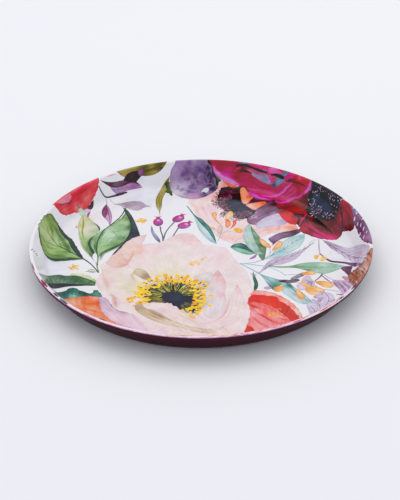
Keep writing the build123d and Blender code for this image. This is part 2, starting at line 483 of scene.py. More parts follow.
def plum_fruit():
    """The big plum on the back wall, with its narrow olive leaf and green sepals."""
    art = Motif("plum_fruit")
    art.petal([(-36, 165), (-41, 158), (-46, 146), (-50.5, 126), (-49.5, 107), (-46, 95), (-45, 83),
        (-45, 95),
               (-43.5, 107), (-43, 125), (-40, 140), (-38, 152)], (166, 152, 84),
              [(-47, 122, 9, (142, 134, 60)), (-38, 160, 6, (150, 132, 40)), (-46, 98, 8, (202, 200, 150))],
              corners=(0, 6), flow=("along", (0.1, 1)), streak=0.8)
    art.stroke([(-41, 155), (-46, 130), (-46, 108), (-45, 88)], (0.6, 1.2, 0.4), (120, 112, 50), opacity=0.5)
    art.petal([(-42, 156), (-37, 158), (-34, 157), (-34, 150), (-32, 142), (-32.5, 131), (-36, 138),
        (-40, 141),
               (-39, 149)], (88, 118, 58), [(-40, 153, 3, (34, 56, 30)), (-34, 140, 4, (70, 98, 44))],
              corners=(0, 5), ruffle=0.8, streak=1.0)
    art.petal([(-36, 166), (-35, 173), (-31, 181), (-31, 192), *rim_row(98, 84, 4), (17, 176), (20, 167),
               (22, 158), (20, 150), (17, 143), (12, 137), (5, 130), (-3, 125.5), (-10, 125), (-20, 128),
               (-27, 134), (-32, 142), (-35.5, 153)], (166, 144, 176),
              [(-27, 141, 12, (208, 204, 214)), (-17, 150, 9, (186, 176, 200)), (-7, 129, 8, (196, 152, 192)),
               (10, 162, 10, (98, 78, 118)), (14, 148, 7, (78, 62, 94)), (0, 174, 9, (104, 76, 126)),
               (-17, 171, 6, (112, 80, 130)), (-9, 152, 5, (104, 78, 130)), (-26, 176, 8, (160, 130, 178)),
               (6, 133, 5, (110, 86, 130))], flow=("along", (0.15, 1)), streak=0.15)
    for x, y, reach, colour in ((-10, 153, 6, (96, 70, 124)), (3, 168, 7, (86, 64, 108)),
            (-20, 168, 5, (110, 78, 128)),
                                (-2, 158, 6, (132, 100, 152)), (8, 176, 6, (70, 50, 88)),
                                (-14, 182, 6, (122, 92, 146)),
                                (15, 152, 5, (58, 44, 70)), (-28, 160, 5, (172, 150, 190)),
                                (3, 137, 5, (136, 100, 150)),
                                (-6, 142, 5, (168, 130, 172)), (0, 182, 5, (150, 130, 172))):
        art.glow((x, y), reach, colour, 0.8, 0.75, 40)
    art.specks((-8, 160), 25, 0.85, 60, 60, 5.0, ((118, 90, 138), (180, 158, 194), (104, 78, 124),
        (150, 122, 164)),
               91, opacity=0.45, feather=2.4)
    art.specks((2, 166), 20, 0.8, 60, 90, 2.0, ((96, 70, 114), (166, 140, 182), (84, 60, 100)), 92,
        opacity=0.4, feather=0.9)
    art.glow((-26, 140), 13, (214, 206, 216), 0.8, 0.6, -50)
    art.glow((-14, 130), 9, (206, 182, 206), 0.7, 0.6, -20)
    art.specks((13, 168), 14, 0.5, 80, 60, 2.2, ((60, 40, 72), (46, 30, 54), (90, 66, 104)), 93, opacity=0.7,
        feather=1.0)
    art.petal([(9, 183), (14, 192), (24, 191), (20, 178), (21, 168), (23, 158), (19, 154), (18, 163),
        (14, 170), (14, 177)],
              (30, 18, 30), flow=("along", (0, 1)), streak=0.6)
    art.petal([(20, 169), (23, 164), (25.5, 158), (23, 156), (19, 161)], (66, 92, 44), corners=(0, 2),
        streak=1.0)
    art.wash(oval((5.5, 144.5), 7.5, 3.8, 68), (222, 222, 230), streak=0.2, pool=0)
    art.petal([(1, 141), (4, 136.5), (7, 136), (5, 141)], (112, 96, 134), corners=(0, 2))
    art.stroke([(2, 142), (4, 139), (6, 136)], (0.5, 1.4, 0.4), (90, 80, 100))
    return art


def magenta_peony():
    """The magenta peony on the back wall at the right, with folded petals and a grey-blue heart."""
    art = Motif("magenta_peony")
    art.petal([*rim_row(87, 43, 14), (133, 127), (130, 121), (125, 118), (118, 117), (111, 116), (105, 118),
               (97, 114), (91, 112), (87, 114), (84, 121), (78, 120), (72, 121), (67, 124), (62, 128),
               (57, 138), (52, 149),
               (45, 151), (37, 156), (29, 160), (22, 165), (16, 173), (13, 182)], (186, 0, 92),
              [(28, 180, 12, (166, 0, 64)), (58, 150, 10, (186, 0, 92)), (44, 166, 8, (140, 0, 44)),
               (76, 134, 9, (204, 0, 112)), (112, 128, 8, (170, 0, 40)), (34, 168, 8, (206, 0, 124)),
               (96, 121, 8, (208, 10, 122)), (70, 168, 9, (196, 20, 90)), (60, 142, 8, (196, 0, 110))],
              ruffle=0.8, flow=("about", (75, 165)), streak=0.6)
    for row, widths, colour in (
            ([(16, 180), (18, 172), (26, 164), (36, 158), (47, 151)], (4, 7, 7, 7, 3), (226, 150, 216)),
            ([(24, 172), (32, 166), (40, 160)], (1, 4, 1), (224, 60, 176)),
            ([(54, 144), (60, 134), (67, 127), (77, 123), (85, 123)], (3, 8, 8, 6, 3), (214, 100, 188)),
            ([(60, 134), (70, 132), (80, 129), (92, 130), (103, 135), (112, 140)], (2, 4, 5, 5, 3),
            (220, 104, 190)),
            ([(84, 121), (88, 115), (96, 116), (105, 119.5), (112, 118), (120, 119)], (2, 4, 5, 4, 3),
            (208, 96, 180)),
            ([(118, 119), (125, 120), (130, 123), (133, 129)], (3, 5, 5, 4), (226, 120, 196))):
        art.shade(row, tuple(w * 1.5 for w in widths), colour, 1.0)
    art.petal([(44, 171), (52, 168), (60, 163), (68, 155), (76, 147), (84, 141), (93, 137), (103, 137),
        (112, 142),
               (104, 148), (94, 156), (80, 166), (66, 172), (52, 177)], (196, 78, 112),
              [(60, 164, 7, (206, 108, 130)), (70, 154, 7, (190, 112, 142)), (88, 142, 7, (176, 70, 100)),
               (52, 172, 6, (110, 40, 56))], flow=("along", (1, -0.8)), streak=0.8)
    art.shade([(50, 166), (60, 158), (70, 148), (82, 138)], (2, 5, 5, 2), (196, 10, 70), 0.7)
    art.stroke([(58, 160), (64, 150), (76, 141), (88, 136)], (0.4, 0.8, 0.4), (120, 30, 60), opacity=0.8)
    art.petal([(62, 163), (70, 160), (80, 157), (84, 150), (82, 145), (75, 149), (68, 155)], (172, 158, 190),
              [(78, 154, 5, (150, 145, 178))], streak=0.9)
    art.petal([(83, 142), (88, 146), (93, 150), (104, 154), (107, 148), (101, 143), (92, 141)],
        (126, 148, 178),
              [(102, 151, 4, (90, 110, 130)), (86, 143, 3, (70, 90, 120))], streak=0.9)
    art.stroke([(84, 155), (90, 154), (97, 149), (105, 143)], (1, 3.5, 4.5, 1.5), (24, 8, 18))
    art.stroke([(44, 175), (54, 175), (63, 170), (74, 163), (83, 158)], (3, 4, 3, 3.5, 1), (66, 52, 66))
    art.stroke([(48, 168), (55, 167), (62, 163)], (1, 2.5, 1), (60, 24, 38))
    art.stroke([(42, 168), (44, 171), (50, 172)], (1, 1.4, 0.8), (226, 60, 80))
    art.stroke([(48, 178), (58, 176), (66, 172), (74, 168)], (1, 2.5, 1.5, 1), (120, 130, 140))
    art.stroke([(60, 174), (72, 169), (80, 165)], (1.5, 5, 2), (206, 60, 120))
    art.stroke([(83, 161), (88, 160), (96, 155), (100, 152)], (5, 7, 4, 1), (226, 92, 170))
    art.stroke([(83, 155), (84.5, 149), (85, 145)], (4, 3, 1), (214, 70, 150))
    art.petal([(100, 146), (106, 149), (113, 152), (116, 146), (112, 141), (104, 141)], (206, 50, 130),
        streak=0.9)
    art.petal([(102, 141), (110, 137), (118, 131), (126, 124), (122, 130), (114, 139), (107, 143)],
        (138, 4, 22),
              corners=(0, 3), streak=0.9)
    art.petal([(113, 140), (120, 133), (127, 128), (132, 132), (124, 140), (117, 146)], (196, 8, 52),
              [(120, 138, 4, (226, 90, 130))], streak=0.9)
    art.petal([(88, 127), (96, 122), (106, 121), (113, 125), (112, 131), (104, 134), (96, 130)],
        (196, 60, 120),
              [(104, 128, 5, (190, 60, 90))], flow=("along", (1, 0.3)), streak=0.9)
    return art


def dark_red_poppies():
    """The deep red flowers under the peony, and the black seedy heart beside them."""
    art = Motif("dark_red_poppies")
    art.petal([(96, 108), (106, 90), (118, 84), (134, 74), (148, 74), (160, 84), (150, 112), (138, 124),
        (122, 122),
               (104, 120)], (70, 10, 24), streak=0.6)
    art.petal([(87, 114), (85, 106), (88, 101), (97, 92), (106, 88), (117, 86), (121, 95), (126, 117),
        (112, 118),
               (100, 117)], (160, 2, 34),
              [(117, 108, 9, (112, 40, 50)), (108, 100, 7, (176, 0, 44)), (95, 104, 6, (120, 0, 20)),
               (120, 115, 6, (98, 46, 58)), (104, 112, 6, (140, 30, 50))], flow=("along", (1, -1.1)),
               streak=1.0)
    art.shade([(98, 113), (108, 106), (116, 98)], (1, 4, 2), (150, 56, 60), 0.8)
    art.shade([(85, 104), (91, 100), (97, 94), (104, 88), (116, 89)], (3, 6, 7, 6, 5), (34, 0, 10), 0.95)
    art.petal([(86, 98), (87, 90), (89, 82), (92, 75), (97, 68), (104, 65), (107, 76), (106, 86), (101, 93),
               (95, 99), (90, 101)], (216, 62, 62),
              [(94, 82, 6, (228, 70, 92)), (91, 97, 5, (120, 14, 16)), (102, 72, 5, (190, 50, 54)),
               (104, 84, 4, (130, 60, 60))], corners=(5,), flow=("along", (0.4, -1)), streak=0.8)
    art.petal([(102, 92), (109, 88), (118, 88), (122, 84), (114, 70), (108, 61), (105, 70), (107, 80)],
        (82, 50, 62),
              [(112, 80, 6, (104, 70, 84)), (116, 86, 4, (40, 14, 26))], ruffle=1.2, streak=1.1)
    art.petal([(108, 62), (106.5, 54), (109, 49), (114, 45), (120, 40), (127, 36), (134, 34), (142, 33),
        (148, 37), (153, 45),
               (158, 41), (163, 36), (168, 34), (171, 40), (171, 55), (169, 68), (164, 79), (152, 78),
               (140, 74),
               (130, 78), (121, 86), (113, 74)], (124, 36, 52),
              [(111, 56, 7, (196, 36, 76)), (126, 44, 8, (228, 48, 128)), (139, 37, 8, (226, 46, 128)),
               (117, 66, 6, (190, 56, 84)), (136, 60, 9, (92, 34, 38)), (150, 52, 8, (116, 52, 66)),
               (158, 62, 6, (206, 38, 84)), (167, 64, 7, (152, 0, 54)), (126, 74, 6, (92, 12, 22)),
               (165, 42, 5, (118, 20, 50)), (146, 70, 8, (96, 44, 54))],
              corners=(9,), ruffle=0.7, flow=("along", (0.15, -1)), streak=0.9)
    art.shade([(113, 66), (119, 55), (126, 46), (134, 40)], (2, 3.5, 4, 2), (70, 20, 40), 0.8)
    art.shade([(120, 64), (127, 50), (136, 40), (145, 37)], (3, 5, 5, 3), (232, 50, 132), 0.8)
    art.stroke([(126, 80), (131, 68), (137, 57)], (5, 5, 1), (44, 2, 8))
    art.stroke([(160, 76), (158, 62), (155, 52), (153, 44)], (2, 2.5, 2, 1), (70, 22, 44))
    art.stroke([(118, 90), (112, 78), (107, 64)], (1.0, 2.2, 0.8), (220, 54, 80))
    art.stroke([(119, 84), (116, 74), (118, 64)], (1.0, 1.6, 0.8), (60, 26, 40))
    art.petal([(117, 94), (120, 104), (125, 114), (129, 119), (134, 128), *rim_row(44, 26, 7), (166, 84),
               (160, 77), (153, 72), (147, 70), (139, 71), (131, 77), (124, 84)], (40, 42, 54), ruffle=1.4,
              flow=("along", (-0.75, 1)), streak=0.9)
    art.petal([(122, 97), (127, 108), (134, 113), (140, 102), (147, 90), (149, 79), (143, 80), (133, 88)],
              (60, 68, 84), flow=("along", (-0.75, 1)), streak=0.7)
    art.petal([(134, 118), (139, 108), (144, 97), (149, 83), (152, 80), (155, 88), (150, 102), (142, 115),
               (136, 124)], (16, 12, 20), flow=("along", (-0.75, 1)), streak=0.6)
    for centre, reach, stretch, turn, count in (((128, 99), 12, 0.45, -60, 40), ((143, 78), 10, 0.4, -25, 34),
                                                ((157, 86), 10, 0.6, -60, 30), ((138, 114), 10, 0.5, -50, 26),
                                                ((127, 88), 8, 0.7, 0, 22), ((150, 100), 8, 0.5, -55, 14)):
        art.specks(centre, reach * 1.15, stretch, turn, count, 0.85,
                   ((158, 136, 170), (198, 184, 210), (112, 100, 134), (178, 130, 160)), count)
    return art


def peach_flower():
    """The pale peach flower behind the plum, with its dark furry heart and orange buds."""
    art = Motif("peach_flower")
    down = ("about", (22, 20))
    art.petal([(-13, 124), (-12, 112), (-8, 100), (-4, 84), (2, 76), (7, 64), (14, 52), (17, 44), (22, 36),
        (30, 30), (38, 25),
               (45, 29), (50, 40), (58, 44), (66, 40), (72, 46), (88, 50), (103, 54), (105, 62), (98, 68),
               (84, 78), (66, 80), (60, 100), (52, 112), (50, 135), (44, 152), (36, 158), (26, 160),
               (21, 157),
               (20, 148), (12, 137), (3, 128), (-4, 125)], (236, 216, 216),
              [(18, 130, 12, (238, 188, 184)), (27, 150, 9, (234, 176, 176)), (0, 114, 10, (236, 210, 206)),
               (12, 104, 10, (234, 208, 212)), (72, 56, 9, (236, 180, 168)), (98, 60, 9, (240, 158, 134)),
               (28, 42, 8, (240, 198, 190)), (40, 40, 8, (238, 202, 196)), (62, 62, 9, (228, 206, 212)),
               (33, 156, 6, (226, 120, 84)), (54, 52, 8, (232, 196, 192))],
              ruffle=0.8, flow=down, streak=0.9)
    for row, widths, colour in (
            ([(-12, 119), (-7, 108), (-4, 98), (0, 84)], (1, 3, 2.5, 1), (242, 186, 162)),
            ([(-8, 112), (-4, 100), (-1, 90)], (1, 2, 1), (232, 206, 206)),
            ([(1, 112), (3, 100), (6, 92), (9, 84)], (1, 3, 2.5, 1), (240, 188, 194)),
            ([(13, 118), (16, 104), (17, 90)], (1, 3.5, 1), (232, 200, 204)),
            ([(17, 136), (15, 124), (17, 112)], (2, 5, 2), (240, 176, 172)),
            ([(24, 74), (20, 62), (22, 46), (26, 36)], (1, 3, 2, 1), (242, 192, 180)),
            ([(36, 44), (33, 36), (38, 28)], (2, 4, 1), (240, 188, 178)),
            ([(44, 62), (46, 50), (44, 36)], (1, 3, 1), (242, 196, 180)),
            ([(70, 62), (74, 54), (72, 46)], (2, 5, 2), (238, 172, 156)),
            ([(86, 66), (84, 56), (82, 50)], (3, 5, 2), (240, 160, 140)),
            ([(103, 64), (101, 58), (98, 53)], (2, 5, 2), (238, 140, 116))):
        art.shade(row, tuple(w * 1.6 for w in widths), colour, 0.9)
    art.petal([(48, 118), (56, 104), (70, 100), (86, 92), (104, 88), (112, 100), (104, 124), (84, 126),
        (66, 130),
               (52, 152), (44, 151)], (84, 24, 44), ruffle=1.0, streak=0.8)
    art.petal([(52, 100), (58, 98), (66, 104), (80, 118), (86, 112), (88, 100), (86, 90), (78, 80), (68, 70),
        (60, 66), (52, 70), (51, 84)], (150, 112, 142),
              [(74, 106, 9, (106, 78, 96)), (58, 86, 8, (186, 158, 194)), (84, 112, 6, (66, 24, 42)),
               (70, 92, 8, (130, 100, 128)), (84, 98, 5, (110, 84, 104))], flow=("along", (1, 1)), streak=1.1)
    art.petal([(60, 62), (63, 72), (70, 81), (78, 87), (87, 91), (90, 83), (95, 72), (90, 66), (78, 62),
        (68, 60)],
              (204, 194, 214), [(74, 70, 8, (216, 210, 226)), (90, 74, 6, (182, 166, 196))],
              flow=("along", (1, 0.8)), streak=0.7)
    art.petal([(24, 150), (21, 138), (19, 124), (21, 110), (27, 98), (36, 86), (48, 80), (58, 96), (52, 110),
               (46, 128), (46, 146), (38, 153), (30, 152)], (46, 40, 52), ruffle=1.0,
              flow=("about", (38, 118)), streak=0.8)
    art.petal([(25, 128), (27, 138), (31, 146), (38, 151), (45, 150), (47, 138), (46, 124), (48, 116),
        (38, 118)],
              (30, 10, 24), [(42, 142, 6, (20, 4, 16)), (38, 150, 4, (78, 50, 50))], flow=("along", (0.1, 1)),
              streak=0.7)
    art.petal([(26, 120), (36, 120), (48, 116), (53, 108), (61, 98), (58, 88), (50, 80), (38, 82), (30, 94)],
              (64, 66, 80), [(46, 100, 8, (76, 78, 92))], ruffle=0.8, flow=("along", (0.2, 1)), streak=0.6)
    furs = ((98, 60, 84), (126, 92, 110), (70, 40, 58), (150, 112, 122))
    heart = np.array((38, 116))
    art.spray(heart, 10, 21, 100, 240, 90, 1.2, furs, 11, opacity=0.85)
    art.spray(heart, 24, 36, 236, 312, 50, 1.2, furs, 12, opacity=0.85)
    fuzz = ((92, 60, 82), (56, 36, 50), (140, 104, 118), (74, 70, 82), (186, 140, 140))
    art.specks((20, 122), 19, 0.4, 86, 150, 0.9, fuzz, 15)
    art.specks((46, 80), 20, 0.32, 8, 150, 0.9, fuzz, 16)
    art.specks((30, 98), 12, 0.6, -45, 60, 0.9, fuzz, 17)
    art.spray(heart + (0, 14), 8, 19, 60, 180, 26, 1.4, ((70, 38, 46), (120, 66, 66), (40, 18, 30)), 14,
        opacity=0.85)
    art.petal([(46, 147), (50, 149), (54, 142), (58, 134), (61, 130), (57, 122), (51, 112), (47, 117),
        (46, 130)],
              (238, 150, 110), [(50, 140, 5, (240, 170, 132)), (57, 130, 4, (226, 96, 54)),
              (50, 117, 5, (236, 180, 166))],
              flow=("along", (0.2, 1)), streak=0.8)
    art.petal([(58, 119), (60, 124), (62, 129), (66, 124), (72, 121), (78, 119), (72, 116), (62, 114),
        (52, 113)],
              (92, 48, 74), [(74, 119, 4, (60, 34, 34))], corners=(5, 8), streak=0.9)
    art.petal([(51, 111), (57, 114), (66, 117), (73, 118), (74, 113), (68, 107), (63, 101), (59, 99),
        (54, 105)],
              (240, 152, 110), [(56, 107, 5, (238, 196, 190)), (71, 114, 4, (232, 104, 44)),
              (62, 101, 3, (232, 190, 186))],
              flow=("along", (1, 0.4)), streak=0.8)
    art.petal([(33, 152), (24, 163), (32, 157), (40, 153), (45, 150), (38, 150)], (230, 120, 80),
        corners=(1, 4), streak=0.8)
    for outline, colour, tint in (
            ([(12, 92), (15, 95), (18, 92), (18, 86), (17, 80), (19, 74), (21, 68), (16, 76), (13, 84)],
             (240, 192, 150), (14, 88, 3, (244, 176, 112))),
            ([(28, 90), (31, 95), (34, 97), (36.5, 90), (35, 84), (31, 79), (28, 76), (27, 82)],
             (236, 210, 180), (33, 93, 4, (240, 196, 140))),
            ([(28, 80), (31, 77), (33, 70), (31, 62), (28, 60), (27, 70)], (240, 172, 132),
            (30, 76, 3, (238, 130, 84))),
            ([(36, 78), (39, 74), (38, 66), (34, 60), (32, 57), (35, 68)], (238, 144, 108),
            (37, 72, 3, (240, 116, 72))),
            ([(5, 70), (8, 66), (12, 62), (16, 60), (13, 57), (8, 59), (5, 64)], (244, 194, 140),
            (7, 66, 3, (242, 176, 110))),
            ([(36, 58), (40, 60), (45, 55), (44, 50), (40, 49), (37, 53)], (244, 188, 104),
            (40, 54, 4, (240, 176, 60))),
            ([(18, 60), (22, 66), (24, 60), (22, 50), (20, 46), (18, 52)], (238, 206, 186),
            (21, 56, 3, (236, 210, 200)))):
        art.petal(outline, colour, [tint], corners=(0,), flow=down, streak=0.7, pool=1.0)
    for row in ([(21, 70), (23, 58), (21, 44), (18, 32)], [(31, 58), (27, 52), (22, 48)],
                [(8, 60), (16, 56), (21, 48)], [(40, 50), (30, 52), (24, 50)]):
        art.stroke(row, (0.7, 1.1, 0.6), (176, 186, 190))
    art.specks((40, 55), 5, 0.8, 0, 16, 1.0, ((240, 176, 60), (246, 206, 110)), 21)
    return art


def left_leaves():
    """The three large green leaves at the left and their stems."""
    art = Motif("left_leaves")
    art.petal([(-131, 88), (-134, 70), (-132, 55), (-128, 38), (-123, 22), (-116, 6), (-106, -16), (-110, 4),
               (-115, 16), (-117, 28), (-116, 40), (-112, 50), (-109, 57), (-113, 67), (-120, 79),
               (-127, 88)],
              (212, 212, 188),
              [(-132, 66, 5, (204, 208, 144)), (-121, 38, 9, (160, 192, 130)), (-118, 20, 8, (122, 160, 88)),
               (-115, 54, 6, (168, 196, 150)), (-124, 82, 6, (196, 206, 150)), (-112, 6, 7, (74, 112, 62)),
               (-122, 62, 7, (216, 212, 198)), (-118, 72, 5, (190, 206, 170))],
              corners=(0, 6, 12), flow=("along", (0.3, -1)), streak=0.6)
    art.shade([(-133, 62), (-129, 40), (-123, 20), (-114, 2)], (1.5, 3, 5, 3), (116, 148, 70), 0.8)
    art.shade([(-114, 46), (-119, 34), (-118, 20), (-112, 6)], (3, 7, 7, 3), (84, 120, 78), 0.8)
    art.stroke([(-130, 86), (-128, 70), (-128, 54), (-125, 38), (-121, 22)], (0.8, 2.2, 2.0, 1.2, 0.5),
        (150, 168, 62))
    art.stroke([(-117, 73), (-112, 66), (-109.5, 58), (-110, 54)], (0.5, 1.6, 2.0, 0.5), (64, 92, 72))
    art.petal([(-90, 111), (-84, 103), (-84, 94), (-87, 84), (-93, 74), (-101, 64), (-110, 52), (-116, 42),
        (-118, 30),
               (-117, 16), (-113, 6), (-107, -10), (-105, 6), (-99, 14), (-91, 20), (-85, 27), (-79, 34),
               (-65, 45),
               (-67, 54), (-69, 62), (-73, 76), (-78, 90), (-83, 101)], (158, 188, 140),
              [(-97, 46, 13, (186, 214, 186)), (-102, 24, 9, (150, 190, 130)), (-80, 82, 8, (112, 148, 86)),
               (-88, 66, 8, (158, 192, 146)), (-76, 62, 6, (84, 116, 84)), (-113, 38, 5, (112, 152, 104)),
               (-84, 40, 7, (104, 146, 96)), (-84, 98, 5, (92, 122, 84)), (-106, 58, 5, (176, 204, 160)),
               (-90, 28, 6, (106, 144, 84))],
              corners=(0, 11, 17), ruffle=0.7, flow=("along", (0.45, 1)), streak=0.7, pool=1.5)
    for row, widths in (([(-104, -6), (-103, 8), (-94, 18), (-84, 27), (-78, 34)], (3, 7, 8, 8, 5)),
                        ([(-79, 92), (-76, 74), (-74, 56), (-76, 40)], (4, 9, 10, 6))):
        art.shade(row, widths, (66, 102, 58), 0.85)
    art.petal([(-87, 107), (-82, 101), (-77, 90), (-73, 78), (-69, 63), (-65, 45), (-76, 36), (-84, 28),
        (-80, 38),
               (-77, 50), (-76, 64), (-79, 80), (-84, 96)], (58, 78, 72),
               [(-72, 48, 9, (46, 52, 66)), (-80, 92, 6, (72, 96, 80))],
              corners=(0, 5, 7), flow=("along", (0.2, -1)), streak=0.5)
    art.petal([(-86, 22), (-80, 33), (-70, 42), (-70, 30), (-80, 20), (-89, 6), (-95, -3), (-92, 8)],
        (54, 58, 72),
              [(-84, 16, 5, (56, 84, 70))], corners=(2, 6))
    art.stroke([(-84, 106), (-86, 94), (-90, 82), (-97, 70), (-104, 58), (-108, 46), (-110, 30), (-109, 12),
        (-106, -8)],
               (1.4, 1.4, 1.8, 1.2, 1.6, 1.8, 1.6, 1.4, 0.6), (62, 96, 66))
    art.shade([(-103, 56), (-106, 48), (-108, 38)], (2, 5, 2), (70, 110, 66), 0.8)
    art.shade([(-112, 38), (-112, 24), (-109, 8)], (2, 5, 2), (66, 106, 60), 0.9)
    art.shade([(-100, 60), (-92, 50), (-90, 36)], (2, 5, 2), (120, 160, 112), 0.5)
    for x, y, ex, ey in ((-95, 64, -78, 74), (-102, 52, -82, 58), (-107, 38, -86, 44), (-108, 24, -92, 28)):
        art.shade([(x, y), ((x + ex) / 2, (y + ey) / 2 - 1.5), (ex, ey)], (1.2, 2.4, 1), (104, 146, 96), 0.85)
    art.stroke([(-116, 44), (-118.5, 30), (-114, 14), (-109, 2), (-106, -14)], (0.8, 2.6, 3.4, 2.0, 0.8),
        (44, 78, 64))
    art.petal([(-111, 11), (-113, 4), (-111, -3), (-107.5, -10), (-107.5, 0), (-109, 8)], (232, 232, 238),
        corners=(0, 3),
              streak=0, pool=0)
    blade = [(-171, 60), (-164, 58), (-156, 55), (-149, 52), (-143, 45), (-137, 37), (-133, 27), (-128, 15),
             (-121, -2), (-135, -4), (-150, -5), (-165, -4), (-168, 0), (-173, 4), (-178, 14), (-183, 27),
             (-181, 38), (-178, 50)]
    art.petal(blade, (160, 188, 126),
              [(-166, 26, 13, (200, 212, 160)), (-151, 34, 9, (160, 192, 118)), (-168, 50, 9, (112, 138, 58)),
               (-174, 12, 9, (132, 160, 70)), (-148, 6, 10, (104, 142, 70)), (-160, 10, 8, (150, 186, 108)),
               (-158, 50, 7, (128, 160, 92)), (-176, 40, 7, (170, 192, 120)), (-140, 20, 8, (128, 164, 94)),
               (-148, 18, 7, (158, 190, 116))],
              corners=(0, 8, 11, 15), ruffle=1.0, flow=("along", (-1, 0.35)), streak=0.8, pool=1.5)
    art.petal([(-160, 56.5), (-149, 52), (-143, 45), (-137, 37), (-133, 27), (-128, 15), (-121, -2),
        (-130, 8),
               (-137, 22), (-142, 36), (-150, 46)], (54, 76, 74),
               [(-134, 14, 8, (50, 74, 66)), (-150, 49, 6, (70, 96, 70))],
              corners=(0, 6), flow=("along", (1, -1.6)), streak=0.6)
    art.shade([(-166, -2), (-152, -3), (-136, -1), (-122, -1)], (5, 10, 10, 4), (48, 74, 48), 0.95)
    art.shade([(-168, 2), (-154, 4), (-140, 3)], (4, 9, 5), (84, 116, 54), 0.8)
    art.shade([(-166, 50), (-156, 46), (-148, 38), (-143, 26), (-138, 12)], (4, 9, 9, 8, 5), (76, 108, 62),
        0.8)
    art.shade([(-160, 34), (-164, 42), (-168, 52)], (3, 8, 6), (110, 138, 54), 0.8)
    art.shade([(-150, 20), (-160, 14), (-168, 12)], (3, 6, 4), (112, 146, 74), 0.7)
    art.shade([(-182, 26), (-177, 14), (-172, 5), (-166, -2)], (3, 4, 4, 3), (66, 96, 50), 0.9)
    art.shade([(-172, 57), (-164, 56), (-156, 52)], (3, 6, 3), (92, 120, 40), 0.8)
    art.stroke([(-121, -2), (-135, 11), (-149, 23.5), (-158, 30), (-167, 32), (-179, 32)],
        (1.6, 1.6, 1.3, 1.1, 0.8, 0.4),
               (58, 86, 70))
    for row in ([(-135, 11), (-144, 14), (-153, 12), (-160, 7)],
            [(-149, 24), (-159, 22), (-167, 18), (-173, 19)],
                [(-156, 29), (-161, 37), (-161, 46)], [(-137, 13), (-140, 24), (-141, 33)],
                [(-165, 32), (-171, 38), (-176, 40)], [(-146, 21), (-151, 33), (-152, 44)]):
        art.shade(row, (1.8, 2.4, 1.8, 1.0), (62, 94, 56), 0.9)
    art.stroke([(-121, -2), (-113, -12), (-104, -28)], (2.0, 1.2, 1.6), (70, 82, 72))
    art.stroke([(-107, -4), (-107, -14), (-104, -27)], (0.8, 1.4, 1.0), (128, 136, 92))
    for row in ([(-118, -26), (-114, -25), (-108, -26)], [(-116, -24), (-112, -22), (-108, -24)],
                [(-114, -27), (-110, -27), (-106, -26)]):
        art.stroke(row, (0.5, 2.0, 0.8), (152, 160, 124))
    art.stroke([(-125, 28), (-117, 30), (-118, 24)], (0.3, 0.6, 0.3), (150, 170, 110), opacity=0.6)
    for x in (-184, -181, -178, -176):
        art.stroke([(x, -27), (x + 1, -24), (x + 2, -21)], (0.5, 1.8, 0.6), (112, 124, 112), opacity=0.8)
    return art


def front_left_leaves():
    """The dark leaf that bends up the left wall, the teal leaf under it, and dabs near the edge."""
    art = Motif("front_left_leaves")
    up = ("along", (-1, -0.4))
    art.petal([(-134, -31), (-128, -29), (-118, -31), (-110, -37), (-104, -44), (-106, -49), (-116, -42),
        (-126, -36)],
              (208, 216, 172), [(-107, -44, 4, (168, 186, 120)), (-124, -31, 5, (222, 226, 192))],
              corners=(0, 4),
              ruffle=1.2, streak=1.2)
    art.petal([(-105, -46), (-110, -42), (-118, -37), (-127, -33), (-138, -33), (-144, -31), (-150, -33),
        (-155, -39),
               (-160, -48), (-165, -58), (-170, -72), (-172, -82), (-166, -88), (-161, -93), (-157, -80),
               (-152, -64),
               (-146, -55), (-138, -51), (-120, -51), (-106, -51.5)], (92, 126, 98),
              [(-145, -41, 8, (112, 142, 114)), (-124, -42, 7, (66, 100, 70)), (-112, -47, 5, (78, 112, 72)),
               (-160, -62, 7, (122, 146, 124)), (-166, -80, 8, (150, 168, 150)), (-140, -36, 5, (58, 92, 72)),
               (-152, -46, 5, (92, 124, 98))], corners=(0, 13), flow=("about", (-140, -75)), streak=0.9)
    for row in ([(-140, -38), (-150, -44), (-157, -56), (-163, -72)],
            [(-130, -40), (-143, -43), (-152, -53), (-158, -68)],
                [(-112, -45), (-126, -45), (-138, -46)]):
        art.shade(row, (2, 3, 3, 2), (64, 98, 72), 0.6)
    art.petal([(-106, -50), (-122, -49), (-140, -47), (-147, -49), (-152, -56), (-156, -68), (-160, -82),
        (-163, -92),
               (-158, -88), (-152, -75), (-147, -63), (-141, -56), (-132, -53), (-118, -52)], (46, 46, 60),
              [(-157, -76, 8, (80, 74, 96)), (-120, -51, 8, (50, 58, 62))], corners=(0, 7), flow=up,
              streak=0.5)
    art.petal([(-134, -60), (-131, -56), (-127, -55), (-120, -60), (-113, -64), (-108, -65.5), (-107, -60),
        (-103, -60), (-97, -71),
               (-101, -73), (-112, -72), (-124, -75), (-134, -82), (-139, -94), (-140, -108), (-141, -123),
               (-147, -120),
               (-150, -105), (-151, -88), (-148, -74), (-142, -66)], (66, 122, 108),
              [(-130, -61, 5, (34, 84, 78)), (-116, -66, 6, (40, 88, 80)), (-126, -71, 5, (130, 184, 158)),
               (-103, -67, 5, (78, 142, 126)), (-148, -92, 6, (84, 122, 122)),
               (-143, -108, 6, (110, 156, 146)),
               (-137, -68, 5, (42, 92, 86))], corners=(0, 6, 8), ruffle=0.6, flow=("about", (-125, -100)),
               streak=0.9)
    for row in ([(-104, -70), (-116, -67), (-128, -61)], [(-112, -68), (-118, -64)],
            [(-120, -70), (-127, -66), (-133, -64)],
                [(-140, -72), (-146, -84), (-147, -104)]):
        art.stroke(row, (0.6, 1.2, 0.5), (28, 62, 60), opacity=0.6)
    art.stroke([(-167, -83), (-164, -89), (-160, -96)], (1.5, 4, 2), (150, 30, 86))
    art.stroke([(-158, -103), (-155, -105), (-151, -108)], (1.2, 3, 1.2), (46, 40, 54))
    art.stroke([(-150, -111), (-146, -117), (-141, -124)], (1.2, 4, 1.5), (60, 120, 124))
    return art


